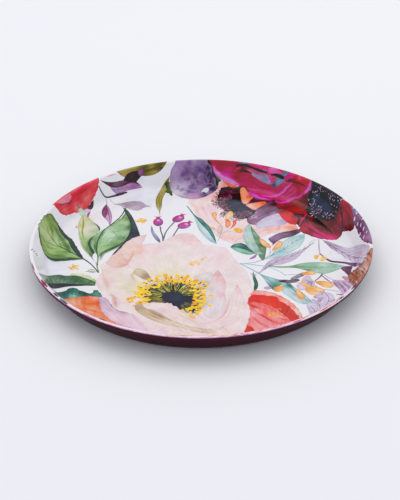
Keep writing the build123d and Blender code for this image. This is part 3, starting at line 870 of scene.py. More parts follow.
def orange_poppy():
    """The orange poppy at the front left, and the lilac petal between it and the pink poppy."""
    art = Motif("orange_poppy")
    heart = (-100, -150)
    art.petal([(-138, -80), (-132, -75), (-122, -72), (-112, -70.5), (-101, -72), (-99, -82), (-96, -92),
        (-90, -106),
               (-60, -124), (-50, -135), *rim_row(248, 223, 7), (-140, -125), (-140, -108), (-139, -92)],
               (228, 136, 96),
              [(-108, -82, 9, (232, 120, 62)), (-101, -83, 5, (226, 96, 34)), (-126, -82, 7, (226, 172, 150)),
               (-120, -74, 6, (230, 140, 96)), (-104, -74, 5, (236, 166, 148)),
               (-108, -94, 6, (230, 172, 150)),
               (-114, -104, 8, (226, 124, 76)), (-136, -120, 7, (228, 176, 158)),
               (-120, -140, 9, (224, 120, 70)),
               (-104, -148, 9, (230, 140, 112)), (-84, -118, 8, (230, 146, 128)),
               (-70, -124, 7, (232, 140, 112)),
               (-132, -135, 5, (236, 160, 140))],
              corners=(0,), ruffle=0.8, flow=("about", heart), streak=0.9)
    for row, widths, colour in (
            ([(-118, -80), (-110, -84), (-100, -82)], (1, 4, 3), (226, 96, 40)),
            ([(-122, -88), (-112, -92), (-100, -98), (-92, -104)], (1, 3, 3, 1), (222, 108, 60)),
            ([(-130, -78), (-120, -78), (-108, -76)], (1, 3, 1), (236, 150, 116)),
            ([(-138, -110), (-134, -124), (-126, -136)], (2, 4, 2), (240, 196, 184)),
            ([(-134, -118), (-131, -127), (-127, -133)], (0.6, 1.6, 0.6), (130, 90, 84)),
            ([(-110, -96), (-102, -103), (-92, -110), (-80, -118)], (2, 4, 4, 2), (236, 148, 120))):
        art.shade(row, tuple(w * 1.5 for w in widths), colour, 0.9)
    art.stroke([(-98, -108), (-94, -111), (-90, -114)], (0.8, 2.2, 0.8), (98, 66, 72))
    # pale pink dabs on the front-left lip: painted highlight where the rounded lip catches light
    for angle in range(225, 249, 6):
        x, y = 190 * math.cos(math.radians(angle)), 190 * math.sin(math.radians(angle))
        art.glow((x, y), 5, (238, 206, 214), 0.7, 0.5, angle + 90)
    art.petal([(-101, -72), (-95, -72.5), (-90, -78), (-86, -88), (-80, -95), (-71, -99), (-60, -104),
        (-50, -112), (-42, -128),
               (-56, -132), (-66, -125), (-80, -117), (-89, -108), (-96, -96), (-99, -84)], (222, 196, 212),
              [(-96, -78, 8, (194, 168, 194)), (-88, -94, 7, (206, 182, 206)), (-76, -98, 7, (200, 166, 186)),
               (-84, -108, 7, (232, 202, 212)), (-68, -112, 9, (228, 204, 216)),
               (-58, -122, 7, (232, 206, 218))],
              corners=(0,), ruffle=0.7, flow=("along", (0.7, -1)), streak=0.8)
    art.shade([(-91, -79), (-87, -88), (-84, -93)], (1.4, 2.4, 1), (160, 130, 140), 0.8)
    art.shade([(-84, -94), (-76, -98), (-66, -101)], (1.5, 4, 1.5), (196, 152, 168), 0.8)
    return art


def pink_poppy():
    """The large pale pink poppy at the front, with its yellow and navy heart."""
    art = Motif("pink_poppy")
    heart = (-27, -74)
    out = ("about", heart)
    art.petal([(-58, 47), (-66, 44), (-73, 39), (-80, 30), (-84, 20), (-90, 8), (-96, -4), (-104, -14),
        (-101, -24), (-103, -34),
               (-106, -46), (-102, -58), (-97, -69), (-92, -76), (-86, -88), (-80, -95), (-71, -99),
               (-62, -106), (-55, -118), (-50, -132), (-58, -178), *rim_row(252, 285, 8),
               (40, -160), (40, -134), (44, -116), (47, -97), (45, -84), (47, -73), (51, -62), (50, -48),
               (47, -30), (42, -17), (36, -6),
               (31, 8), (27, 19), (18, 22), (9, 24), (1, 27), (-3, 37), (-7, 45), (-14, 49), (-22, 48),
               (-30, 43), (-37, 36),
               (-47, 29), (-55, 28), (-62, 28), (-60, 37)],
              (235, 221, 219),
              [(-72, 14, 16, (232, 200, 194)), (-66, 36, 9, (230, 200, 200)), (-84, -8, 10, (228, 194, 188)),
               (-96, -24, 10, (232, 208, 204)), (-34, -14, 22, (234, 222, 212)),
               (-78, -48, 18, (228, 216, 204)),
               (-90, -44, 9, (226, 204, 200)), (-20, 40, 10, (234, 206, 206)), (-46, 20, 10, (234, 208, 210)),
               (22, 6, 14, (236, 212, 218)), (30, -30, 14, (232, 216, 218)), (0, -120, 16, (232, 210, 216)),
               (20, -140, 18, (236, 212, 214)), (-36, -130, 14, (234, 210, 216)),
               (-8, 30, 8, (236, 210, 212)),
               (0, 8, 12, (234, 218, 218))],
              corners=(0, 41), ruffle=0.9, flow=out, streak=0.45, pool=0.3)
    # the upper lobes, each with its own edge
    art.petal([(-62, 28), (-60, 37), (-58, 47), (-66, 44), (-73, 39), (-80, 30), (-84, 20), (-88, 10),
        (-82, 2), (-76, -12), (-72, 0), (-66, 8), (-62, 8), (-63, 18)],
              (232, 202, 196), [(-68, 14, 8, (234, 198, 184)), (-66, 38, 8, (232, 208, 206)),
              (-78, -6, 5, (226, 182, 168))],
              corners=(2, 9), flow=out, streak=0.6, pool=0.25)
    art.petal([(-36, 35), (-30, 43), (-22, 48), (-14, 49), (-7, 45), (-3, 37), (1, 27), (-8, 24), (-16, 30),
        (-22, 38), (-30, 34)],
              (236, 210, 210), [(-10, 38, 7, (234, 202, 202)), (-26, 42, 6, (232, 206, 208))], flow=out,
              streak=0.7, pool=0.3)
    art.petal([(-90, 8), (-84, 3), (-78, -4), (-74, -12), (-78, -15), (-84, -19), (-92, -17), (-98, -10),
        (-96, -4)],
              (232, 200, 190), [(-82, -12, 6, (222, 178, 166)), (-92, -10, 6, (230, 206, 200))], corners=(3,),
              flow=out, streak=0.6)
    art.shade([(-70, 18), (-72, 4), (-75, -8), (-78, -14)], (2, 4, 5, 3), (222, 164, 150), 0.8)
    art.shade([(-62, 26), (-62, 14), (-64, 4)], (2, 5, 2), (236, 196, 182), 0.8)
    for row, widths, colour, strength in (
            ([(-100, -28), (-98, -38), (-94, -50), (-92, -64)], (2, 6, 7, 3), (226, 184, 178), 0.85),
            ([(-104, -36), (-104, -46), (-100, -58)], (2, 5, 2), (228, 208, 212), 0.8),
            ([(-91, -66), (-86, -72), (-84, -82), (-82, -91)], (3, 8, 8, 3), (206, 152, 146), 0.85),
            ([(-86, -70), (-80, -78), (-80, -88)], (2, 4, 2), (226, 190, 190), 0.8),
            ([(-80, -20), (-84, -34), (-82, -48), (-84, -60)], (4, 8, 8, 4), (232, 220, 200), 0.8),
            ([(-72, -84), (-74, -92), (-68, -98)], (3, 6, 3), (232, 218, 220), 0.8),
            ([(-52, 24), (-50, 10), (-54, -4)], (2, 5, 2), (236, 210, 212), 0.6),
            ([(-40, 30), (-38, 14), (-38, 0)], (2, 4, 2), (228, 220, 230), 0.6),
            ([(0, 22), (-2, 8), (-6, -6)], (2, 5, 2), (236, 214, 218), 0.6),
            ([(26, 16), (27, 4), (24, -10)], (2, 5, 3), (236, 204, 212), 0.8),
            ([(14, 16), (14, 2), (10, -12)], (2, 4, 2), (230, 220, 232), 0.7)):
        art.shade(row, widths, colour, strength)
    veins = ((226, 206, 204), (240, 230, 228), (228, 212, 204))
    art.spray(np.array(heart), 44, 96, 20, 158, 90, 1.5, veins, 37, opacity=0.35, feather=0.5)
    art.spray(np.array(heart), 40, 72, 158, 200, 30, 1.5, veins, 38, opacity=0.35, feather=0.5)
    art.glow((-34, -30), 26, (228, 220, 190), 0.9, 0.7)
    art.glow((-68, -56), 20, (224, 214, 184), 0.8, 1.0)
    art.glow((-10, -36), 16, (230, 222, 208), 0.8, 0.8)
    art.petal([(-67, -21), (-62, -21), (-57, -24), (-53, -32), (-49.5, -41), (-56, -42), (-62, -37),
        (-69, -30)],
              (200, 184, 152), [(-56, -36, 6, (168, 146, 120)), (-64, -24, 5, (212, 200, 176)),
              (-68, -32, 4, (210, 190, 150))],
              corners=(4, 7), flow=("along", (0.5, -1)), streak=0.8, pool=0.2)
    art.shade([(-66, -24), (-70, -34), (-66, -44)], (3, 6, 3), (206, 186, 146), 0.8)
    art.petal([(9, -27), (14, -34), (12, -42), (9, -50), (5, -56), (0, -60), (-4, -52), (-8, -38), (-1, -32)],
              (218, 208, 208), [(6, -48, 6, (202, 190, 194)), (-6, -36, 4, (226, 200, 186)),
              (6, -34, 5, (224, 216, 214))],
              corners=(0, 5), flow=("along", (-0.4, -1)), streak=0.7, pool=0.2)
    # the two narrow petals at the right of the heart
    art.petal([(17, -24), (14, -30), (11, -38), (8, -49), (3, -60), (0, -75), (1, -92), (4, -106), (12, -110),
        (20, -108), (23, -97), (25, -84), (24.5, -76),
               (23, -66), (25, -54), (24, -44), (21, -33)], (226, 212, 214),
              [(17, -32, 6, (232, 180, 180)), (22, -46, 7, (234, 184, 186)), (14, -44, 5, (224, 196, 198)),
              (8, -80, 8, (222, 208, 206)),
               (22, -70, 6, (230, 196, 200)), (16, -95, 8, (226, 214, 218)), (6, -62, 6, (214, 204, 204))],
              corners=(0, 12), flow=("along", (-0.1, -1)), streak=0.7, pool=0.3)
    art.petal([(36, -51), (34, -58), (30, -68), (27, -80), (24, -95), (20, -108), (30, -112), (40, -106),
        (44, -92), (42, -80), (41, -70), (39, -60)],
              (234, 218, 216), [(36, -54, 4, (234, 188, 194)), (38, -64, 5, (234, 202, 208)),
              (30, -95, 6, (232, 222, 226))],
              corners=(0, 5), flow=("along", (-0.2, -1)), streak=0.7, pool=0.3)
    for row, widths, colour in (
            ([(27, -72), (26, -88), (22, -102), (15, -112), (5, -117)], (1, 2.5, 3, 3, 1), (226, 190, 180)),
            ([(31, -78), (29, -94), (24, -108), (14, -118)], (1, 2, 2.5, 1), (222, 194, 186)),
            ([(38, -76), (37, -92), (31, -108), (20, -122)], (1, 3, 3, 2), (238, 208, 204)),
            ([(44, -96), (40, -112), (34, -126)], (1, 3, 1), (226, 212, 222)),
            ([(38, -96), (30, -98), (36, -104)], (1, 3, 1), (238, 204, 198))):
        art.shade(row, tuple(w * 1.5 for w in widths), colour, 0.85)
    poppy_heart(art)
    # the petal that curls over the heart from the front
    art.petal([(-64, -88), (-60, -92), (-52, -97), (-42, -104), (-32, -114), (-18, -122), (-4, -126),
        (10, -127), (22, -123), (36, -112), (30, -100),
               (24, -108), (14, -115), (4, -117), (-4, -115), (-10, -110), (-15, -102), (-19, -97),
               (-25, -91), (-30, -85.5),
               (-37, -83), (-46, -82.5), (-55, -84)], (234, 216, 214),
              [(-34, -88, 7, (236, 214, 212)), (-28, -104, 8, (230, 208, 206)),
              (-50, -88, 7, (236, 222, 222)),
               (0, -120, 8, (226, 206, 208)), (20, -118, 8, (234, 214, 218)), (-40, -98, 5, (222, 204, 214))],
              corners=(0,), flow=("along", (1, -0.8)), streak=0.6, pool=0.35)
    art.petal([(-64, -86), (-60, -83.5), (-57, -86), (-55, -91), (-46, -95), (-38, -102), (-28, -112),
        (-14, -121), (-2, -125), (10, -127),
               (22, -122), (16, -130), (6, -134), (-6, -131), (-18, -125), (-30, -121), (-42, -115),
               (-52, -108), (-60, -100),
               (-64, -93)], (212, 190, 164),
              [(-58, -93, 8, (188, 166, 138)), (-44, -104, 7, (196, 176, 148)),
              (-26, -116, 7, (220, 196, 168)),
               (0, -130, 7, (210, 180, 164)), (16, -127, 7, (228, 202, 196))],
              corners=(10,), flow=("along", (1, -0.7)), streak=1.1, pool=0.3)
    for row, widths, colour in (
            ([(-58, -88), (-48, -98), (-36, -108), (-20, -119)], (1, 3, 3, 1), (170, 144, 116)),
            ([(-54, -100), (-44, -110), (-34, -118)], (1, 3, 1), (224, 206, 184)),
            ([(-24, -120), (-8, -127), (8, -130)], (1, 3, 1), (232, 208, 190)),
            ([(-24, -98), (-23, -102), (-20, -106)], (1, 2.4, 1), (238, 190, 196))):
        art.shade(row, tuple(w * 1.5 for w in widths), colour, 0.8)
    for x, colour in ((-44, (232, 214, 222)), (-36, (226, 206, 190)), (-28, (226, 204, 186)),
            (-22, (232, 214, 206)),
                      (-14, (238, 216, 212)), (14, (240, 214, 208)), (26, (234, 214, 218)),
                      (34, (238, 206, 206))):
        art.shade([(x, -122), (x + 3, -136), (x + 2, -152), (x + 5, -170)], (1.5, 5, 5, 2), colour, 0.8)
    fan = ((214, 194, 168), (236, 222, 216), (226, 206, 190), (240, 226, 222), (220, 200, 192))
    art.spray(np.array((-58, -62)), 52, 92, -64, -38, 26, 3.0, fan, 35, opacity=0.5, feather=1.2)
    art.spray(np.array((-4, -76)), 54, 84, -112, -60, 34, 3.0, fan, 36, opacity=0.4, feather=1.2)
    art.specks((-7, -12), 5, 1.0, 0, 26, 1.6, ((240, 190, 124), (246, 210, 150), (236, 178, 104)), 31)
    art.specks((1, -4), 1.8, 1.0, 0, 5, 1.2, ((242, 190, 120),), 32)
    art.specks((4, 0), 1.2, 1.0, 0, 3, 1.2, ((242, 190, 120),), 33)
    art.specks((-69, -77), 4.5, 1.0, 0, 24, 1.6, ((238, 184, 84), (244, 206, 120), (232, 168, 70)), 34)
    return art


def poppy_heart(art):
    """The dark heart of the pink poppy, its filaments and its ring of yellow anthers."""
    middle = np.array((-27, -74))
    rng = random.Random(4)
    art.glow((-36, -60), 30, (168, 160, 92), 0.95, 0.8)
    art.glow((-8, -80), 18, (120, 116, 84), 0.8, 1.1)
    darks = ((44, 48, 54), (54, 58, 52), (78, 82, 48), (104, 104, 54))
    lights = ((206, 196, 84), (176, 168, 70), (226, 214, 110))
    for start, end, near, far, count in ((18, 204, 6, 32, 120), (204, 226, 6, 30, 12), (-64, 18, 6, 28, 50)):
        art.spray(middle, near + 6, far + 4, start, end, count // 3, 1.1, lights, count + 1)
        art.spray(middle, near, far - 2, start, end, count, 1.9, darks, count)
        art.spray(middle, near + 6, far - 6, start, end, count // 4, 0.7, lights, count + 2)
    art.petal([(-39, -69), (-37, -65), (-31, -64), (-25, -64), (-19, -68), (-14, -71), (-8, -70.5), (-5, -74),
               (-4, -86), (-6, -96), (-9, -103), (-13, -100), (-20, -95), (-28, -86), (-36, -81), (-38, -76)],
              (46, 50, 64), [(-26, -74, 8, (54, 60, 78)), (-9, -94, 6, (40, 44, 52))], ruffle=1.8, streak=0.4,
              pool=0)
    art.spray(middle + (6, -8), 5, 17, -78, -5, 12, 0.7, ((150, 146, 96), (112, 112, 78)), 9, opacity=0.6)
    yellows = ((252, 208, 30), (246, 190, 24), (253, 222, 70), (242, 174, 28), (250, 202, 22), (252, 212, 44))
    rings = ((26, 168, 31, 42, 60), (150, 200, 24, 41, 48), (-42, 44, 20, 33, 46), (-70, -34, 22, 38, 30),
             (40, 150, 25, 33, 26))
    for start, end, near, far, count in rings:
        for i in range(count):
            angle = math.radians(start + (end - start) * (i + rng.random()) / count)
            way = np.array((math.cos(angle), math.sin(angle)))
            place = middle + rng.uniform(near, far) * way
            turn = math.degrees(angle) + rng.uniform(-35, 35)
            if rng.random() < 0.45:
                art.wash(oval(place - way * 3, rng.uniform(1.2, 2.2), 0.8, turn, 7), rng.choice(darks),
                    pool=0)
            size = rng.uniform(1.6, 2.7)
            art.wash(oval(place, size, size * rng.uniform(0.55, 0.8), turn, 9), rng.choice(yellows), pool=0.2)
    for x, y, size in ((-36, -34, 3.4), (-24, -35, 3.2), (-16, -40, 4.2), (9, -71, 2.6), (8, -88, 2.6),
            (-8, -107, 3.2),
                       (-54, -84, 3.2), (-64, -66, 2.8), (-62, -50, 2.8), (-5, -44, 3.2)):
        turn = math.degrees(math.atan2(y - middle[1], x - middle[0]))
        art.wash(oval((x, y), size, size * 0.68, turn, 10), rng.choice(yellows), pool=0.3)


def coral_peony():
    """The coral peony at the front right: a red heart, pale outer petals, and striped petals below."""
    art = Motif("coral_peony")
    heart = (70, -150)
    art.petal([(51, -62), (60, -62.5), (70, -66), (80, -74), (88, -84), (94, -96), (97, -110), (97, -126),
        (104, -150), *rim_row(303, 284, 6),
               (40, -160), (40, -134), (44, -116), (47, -97), (45, -83), (48, -72)], (236, 128, 118),
              [(60, -66, 9, (238, 168, 166)), (84, -82, 7, (238, 190, 170)), (94, -100, 8, (232, 206, 190)),
               (60, -92, 10, (232, 110, 108)), (56, -118, 10, (232, 160, 176)),
               (76, -120, 12, (234, 150, 160)),
               (60, -150, 14, (230, 120, 110)), (90, -145, 12, (232, 150, 140)),
               (50, -102, 7, (238, 170, 190)),
               (70, -66, 6, (238, 184, 166))],
              corners=(0,), ruffle=0.8, flow=("about", heart), streak=0.9)
    art.petal([(49, -71), (56, -70), (66, -72), (74, -73), (76, -80), (82, -86), (87, -94), (92, -104),
        (94, -112), (88, -116), (80, -106),
               (72, -94), (62, -86), (52, -84), (46, -84)], (224, 66, 48),
              [(54, -76, 7, (226, 60, 40)), (72, -80, 7, (226, 62, 44)), (80, -98, 7, (200, 68, 56)),
              (90, -108, 6, (196, 54, 46))],
              corners=(3,), ruffle=0.9, flow=("about", heart), streak=0.9)
    art.petal([(46, -84), (52, -82), (58, -85), (66, -90), (72, -98), (80, -108), (86, -118), (74, -120),
        (60, -108), (50, -96)],
              (236, 122, 118), [(60, -92, 6, (230, 96, 96)), (72, -108, 7, (238, 156, 164)),
              (52, -98, 5, (238, 150, 150))],
              corners=(0,), flow=("about", heart), streak=1.0)
    for row, widths, colour in (
            ([(46, -84), (50, -89), (56, -94), (60, -99)], (1, 5, 3, 0.6), (200, 46, 46)),
            ([(48, -76), (52, -80), (58, -83)], (1, 3, 1), (196, 50, 44)),
            ([(76, -90), (82, -98), (88, -107)], (2, 6, 3), (194, 62, 54)),
            ([(47, -100), (56, -104), (64, -112), (74, -122)], (1, 3, 2.4, 0.8), (220, 70, 66)),
            ([(48, -106), (54, -116), (62, -126), (66, -140)], (2, 5, 4, 2), (226, 92, 84)),
            ([(46, -112), (50, -126), (50, -144)], (2, 5, 2), (240, 150, 140)),
            ([(70, -108), (78, -112), (86, -114)], (0.8, 2.6, 0.8), (206, 60, 58)),
            ([(58, -122), (66, -132), (70, -150)], (2, 5, 2), (238, 176, 190)),
            ([(80, -120), (84, -132), (86, -150)], (2, 5, 2), (226, 84, 76)),
            ([(94, -122), (98, -136), (100, -152)], (1, 4, 2), (226, 90, 80)),
            ([(60, -66), (70, -70), (78, -76)], (1, 3, 1), (238, 200, 170)),
            ([(88, -92), (92, -102), (94, -112)], (1.5, 3.6, 1.5), (228, 204, 190))):
        art.shade(row, tuple(w * 1.4 for w in widths), colour, 0.9)
    art.petal([(41, -124), (46, -123), (49, -127), (50, -134), (44, -150), (39, -144)], (212, 60, 48),
        streak=0.9)
    art.specks((69, -104), 6, 0.7, -20, 22, 1.3, ((240, 164, 50), (244, 188, 84), (236, 150, 60)), 41)
    art.specks((75, -94), 2.4, 0.7, 0, 8, 0.9, ((226, 160, 60), (200, 110, 40)), 42)
    return art


def rosehips():
    """Three magenta rosehips on thin stems, with a grey-blue leaf."""
    art = Motif("rosehips")
    stem = (112, 110, 118)
    for row in ([(-44, 64), (-43, 54), (-41, 44), (-40, 33)], [(-29, 73), (-34, 62), (-38, 50), (-40, 36)],
                [(-24, 61), (-27, 52), (-30, 42)]):
        art.stroke(row, (1.8, 1.4, 1.5, 1.8), stem)
    art.petal([(-53.5, 67), (-54, 56), (-52, 46), (-48, 36), (-43, 29), (-43, 34), (-46, 43), (-50, 52),
        (-52, 60)],
              (162, 164, 188), [(-44, 33, 5, (120, 120, 140)), (-51, 50, 5, (176, 178, 202))], corners=(0, 4),
              flow=("along", (0.3, -1)), streak=1.0)
    for centre, tall, wide, turn in (((-46.5, 73.5), 8.8, 5.6, 92), ((-24.5, 80.5), 8.6, 6.2, 62),
            ((-18, 66), 8.2, 6.6, 48)):
        way = np.array((math.cos(math.radians(turn)), math.sin(math.radians(turn))))
        side = np.array((-way[1], way[0]))
        tip = np.array(centre) + way * tall
        for lean in (-0.9, -0.3, 0.35, 1.0):
            end = tip + (way + side * lean) * 4.0
            art.stroke([tip - way * 2, (tip + end) / 2, end], (2.4, 1.6, 0.5), (168, 76, 142))
        art.wash(oval(centre, tall, wide, turn, 20), (176, 70, 142),
                 [(*(np.array(centre) + side * wide * 0.45 + way * 2), wide * 0.9, (206, 40, 112)),
                  (*(np.array(centre) - side * wide * 0.45), wide * 0.8, (192, 108, 190)),
                  (*(np.array(centre) - way * tall * 0.6), wide * 0.8, (150, 76, 140))],
                 flow=("along", tuple(way)), streak=0.7)
        art.glow(tuple(np.array(centre) + way * tall * 0.45 - side * 0.2), 1.9, (250, 238, 246), 0.95, 1.5,
            turn)
        art.stroke([np.array(centre) - way * tall * 1.02, np.array(centre) - way * tall * 0.8],
            (2.2, 2.6, 2.0), (122, 100, 118))
    art.specks((-65, 77), 5.5, 0.8, 0, 34, 1.7, ((240, 188, 84), (246, 206, 120), (236, 174, 64)), 51)
    art.specks((-130, -17), 5.0, 1.1, 0, 30, 1.6, ((240, 190, 100), (244, 208, 140), (234, 170, 64)), 52)
    return art


def middle_leaves():
    """The teal and sage leaves, buds and fine stems to the right of the middle."""
    art = Motif("middle_leaves")
    stem = (160, 190, 198)
    for row, widths in (([(40, -12), (50, -14), (66, -18)], (1.5, 1.5, 1.2)),
            ([(40, -12), (52, -24), (60, -33)], (2.0, 1.6, 2.2)),
                        ([(42, -13), (56, -10), (66, -3), (72, 2)], (1.6, 1.4, 2.6)),
                        ([(66, -18), (78, -26), (86, -36)], (1.0, 1.0, 1.2)),
                        ([(84, -34), (94, -34), (102, -33)], (0.8, 1.2, 0.6)),
                        ([(66, -3), (64, -5), (56, -10)], (1.2, 1.2, 1.0)),
                        ([(48, 42), (40, 36), (36, 30)], (0.8, 0.8, 0.5))):
        art.stroke(row, widths, stem)
    art.petal([(-15, 109), (-11, 99), (-8, 90), (-3, 84), (1, 80), (5, 72), (9, 64), (13, 52), (15, 42),
        (17, 26), (12, 30), (7, 36),
               (2, 46), (-2, 56), (-4, 66), (-7, 82), (-9, 92)], (192, 214, 214),
              [(2, 50, 7, (204, 220, 220)), (12, 34, 6, (164, 196, 204)), (-4, 72, 5, (176, 206, 206))],
              corners=(0, 9), flow=("along", (0.3, -1)), streak=0.9)
    art.petal([(-14, 107), (-10, 98), (-7, 90), (-3, 84), (1, 80), (5, 72), (9, 64), (13, 52), (15, 42),
        (16.5, 28), (14, 36),
               (10, 48), (5, 60), (0, 70), (-5, 82)], (84, 142, 134),
              [(2, 70, 6, (64, 116, 108)), (12, 52, 5, (70, 130, 122)), (-4, 86, 5, (96, 150, 144))],
              corners=(0, 9), flow=("along", (0.3, -1)), streak=0.9)
    art.stroke([(-15, 109), (-8, 90), (0, 72), (8, 54), (15, 34)], (1.4, 1.0, 1.0, 0.8, 0.5), (54, 100, 98),
        opacity=0.7)
    for row in ([(-3, 66), (0, 54), (8, 44)], [(0, 58), (4, 46), (10, 36)]):
        art.stroke(row, (0.5, 1.0, 0.4), (150, 186, 188), opacity=0.8)
    art.petal([(31, 20), (35, 26), (43, 28), (48, 24), (54, 16), (63, 7), (56, 6), (50, 4.5), (43, 7),
        (36, 13)], (122, 172, 148),
              [(40, 13, 6, (156, 198, 176)), (52, 8, 6, (132, 180, 152))], corners=(0, 5),
              flow=("along", (1, -0.6)), streak=0.8)
    art.petal([(31, 20), (35, 26), (43, 28), (48, 24), (54, 16), (63, 7), (54, 9), (46, 15), (38, 19)],
        (56, 112, 104),
              [(48, 20, 5, (40, 90, 88)), (38, 24, 5, (84, 140, 126)), (60, 9, 4, (36, 66, 66))],
              corners=(0, 5),
              flow=("along", (1, -0.6)), streak=0.9)
    art.petal([(53, 69), (57, 58), (60, 48), (64, 36), (68, 24), (68, 10), (66, -5), (60, 3), (54, 12),
        (48, 24), (46, 34), (45.5, 44), (48, 58)],
              (178, 202, 196), [(48, 48, 6, (192, 212, 212)), (60, 30, 6, (120, 156, 130)),
              (64, 14, 6, (104, 140, 100)), (54, 30, 5, (170, 196, 180))],
              corners=(0, 6), flow=("along", (0.2, -1)), streak=0.9)
    art.petal([(54, 64), (58, 54), (61, 46), (65, 34), (69, 22), (68, 10), (66, -4), (64, 8), (60, 22),
        (57, 36), (55, 50)], (112, 150, 118),
              [(66, 24, 5, (62, 84, 62)), (58, 46, 5, (140, 172, 148))], corners=(0, 6),
              flow=("along", (0.2, -1)), streak=0.9)
    art.petal([(60, 4), (63, 6), (66, 0), (64, -7), (62, -3)], (110, 140, 112))
    for outline, colour, tint in (
            ([(62, 37), (66, 36), (70, 30), (73, 24), (74, 18), (71, 18), (66, 22), (63, 29)],
            (238, 198, 156), (70, 22, 4, (240, 176, 110))),
            ([(86, 31), (87, 25), (84, 19), (79, 15), (75, 12), (77, 20), (80, 27), (83, 32)],
            (240, 194, 150), (78, 16, 4, (240, 178, 112)))):
        art.petal(outline, colour, [tint], corners=(0,), streak=0.8, pool=1.2)
    art.stroke([(72, 18), (73, 12), (70, 2)], (0.9, 1.0, 0.5), (196, 200, 188))
    art.stroke([(76, 12), (73, 8), (72, 4)], (0.8, 0.8, 0.4), (206, 206, 180))
    art.simple_leaf((50, -5), (59, 7), 3.6, -1.0, (190, 150, 196), (176, 130, 184))
    art.petal([(53, -27), (55, -38), (57, -50), (56, -58), (53.5, -63), (52, -62), (53, -50), (52, -38)],
        (64, 122, 96),
              [(55, -56, 4, (40, 96, 70)), (53, -32, 4, (130, 160, 140))], corners=(0, 4), streak=0.8)
    for x, y in ((52, -32), (55, -34), (58, -30), (60, -29), (53, -35)):
        art.glow((x, y), 2.6, (150, 146, 148), 0.8, 0.8, x * 7)
    return art


def right_leaves():
    """The mint, mauve and green leaves that fan out at the right."""
    art = Motif("right_leaves")
    art.petal([(112, 46), (104, 44), (96, 40), (88, 32), (82, 24), (77, 12), (73, 4), (66, -2), (62, -7),
        (73, -3), (85, 2), (95, 9), (103, 18), (109, 30), (111, 38)],
              (190, 214, 214), [(96, 28, 9, (200, 220, 218)), (82, 10, 7, (170, 204, 206)),
              (104, 38, 6, (164, 200, 200)), (90, 22, 6, (204, 216, 214))],
              corners=(0, 8), flow=("along", (1, 1)), streak=0.9)
    art.veins([(70, 0), (84, 12), (98, 28), (110, 43)], 7, 13, 24, 0.8, (96, 146, 150), 0.75)
    art.petal([(124, 36), (118, 26), (110, 18), (98, 9), (88, 3), (76, -2), (70, -8), (66, -15), (62, -24),
        (60, -30), (72, -18), (84, -14), (94, -8), (100, -2), (106, 8), (114, 20), (120, 28)],
              (202, 190, 208), [(84, -4, 8, (196, 180, 202)), (104, 8, 7, (206, 194, 212)),
              (116, 24, 5, (180, 166, 190)), (68, -16, 6, (188, 172, 196))],
              corners=(0, 9), flow=("along", (1, 0.9)), streak=1.0)
    art.veins([(64, -24), (80, -8), (100, 6), (120, 30)], 7, 13, 22, 0.8, (142, 118, 150), 0.75)
    art.petal([(129, 34), (136, 30), (146, 22), (156, 14), (166, 7), (174, -2), (180, -14), (184, -24),
        (180, -31), (173, -34), (164, -31), (158, -20), (152, -6), (144, 6), (136, 18)],
              (206, 194, 212), [(140, 20, 7, (190, 172, 192)), (168, -14, 8, (206, 188, 210)),
              (156, -2, 7, (214, 206, 222)), (176, -24, 6, (224, 218, 232)), (134, 28, 5, (178, 156, 178))],
              corners=(0, 8), flow=("along", (1, -1.1)), streak=1.0, pool=0.3)
    art.veins([(131, 30), (145, 12), (160, -8), (172, -30)], 7, 17, 26, 0.9, (140, 104, 144), 0.8)
    art.shade([(150, 2), (160, -10), (168, -24)], (1.5, 3, 1.5), (150, 110, 140), 0.7)
    art.stroke([(126, 37), (124.5, 20), (124, 5)], (0.8, 1.4, 1.8), (186, 170, 194))
    art.stroke([(122, 36), (118, 31), (115, 26)], (0.6, 1.0, 0.4), (190, 176, 200))
    art.stroke([(124, 6), (128, -1), (134, -9), (142, -11), (150, -13), (156, -19), (161, -27), (166, -35)],
               (1.2, 1.8, 3.2, 3.2, 4.0, 5.0, 5.0, 2.0), (112, 66, 96),
               [(138, -10, 8, (90, 50, 72)), (154, -18, 5, (124, 74, 112)), (162, -28, 5, (172, 128, 174))])
    art.petal([(66, -18), (80, -18), (93, -17), (102, -13), (112, -11), (124, -11), (133, -12.5), (150, -19),
        (142, -24), (134, -29), (124, -33),
               (114, -30), (106, -26), (96, -21.5), (82, -21)], (158, 192, 168),
              [(126, -20, 9, (178, 206, 190)), (98, -19, 7, (110, 156, 116)), (144, -19, 6, (176, 208, 204)),
              (108, -26, 5, (112, 158, 124)), (120, -30, 5, (162, 196, 170)), (76, -20, 6, (120, 158, 136))],
              corners=(0, 7), flow=("along", (1, 0)), streak=0.8)
    art.veins([(92, -19), (108, -20), (128, -20), (148, -19)], 8, 10, 32, 0.7, (106, 150, 118), 0.6)
    art.specks((124, -2), 6.5, 0.8, -30, 38, 1.6, ((240, 190, 70), (246, 208, 120), (236, 172, 60)), 61)
    art.specks((133, 5), 5.0, 0.3, 40, 8, 1.0, ((244, 216, 160),), 62)
    art.petal([(74, 20), (76, 26), (72, 36), (77, 42), (82, 47), (88, 50), (97, 53), (105, 57), (108, 52),
        (103, 45), (96, 40), (88, 37), (82, 32), (78, 26)],
              (140, 110, 140), [(100, 50, 8, (78, 54, 68)), (80, 40, 6, (152, 118, 156)),
              (90, 46, 5, (94, 70, 90)), (76, 26, 5, (128, 92, 130))],
              corners=(0, 7), flow=("along", (1, 0.7)), streak=1.0)
    art.shade([(76, 32), (84, 42), (94, 50)], (1, 2, 1), (170, 140, 176), 0.7)
    return art


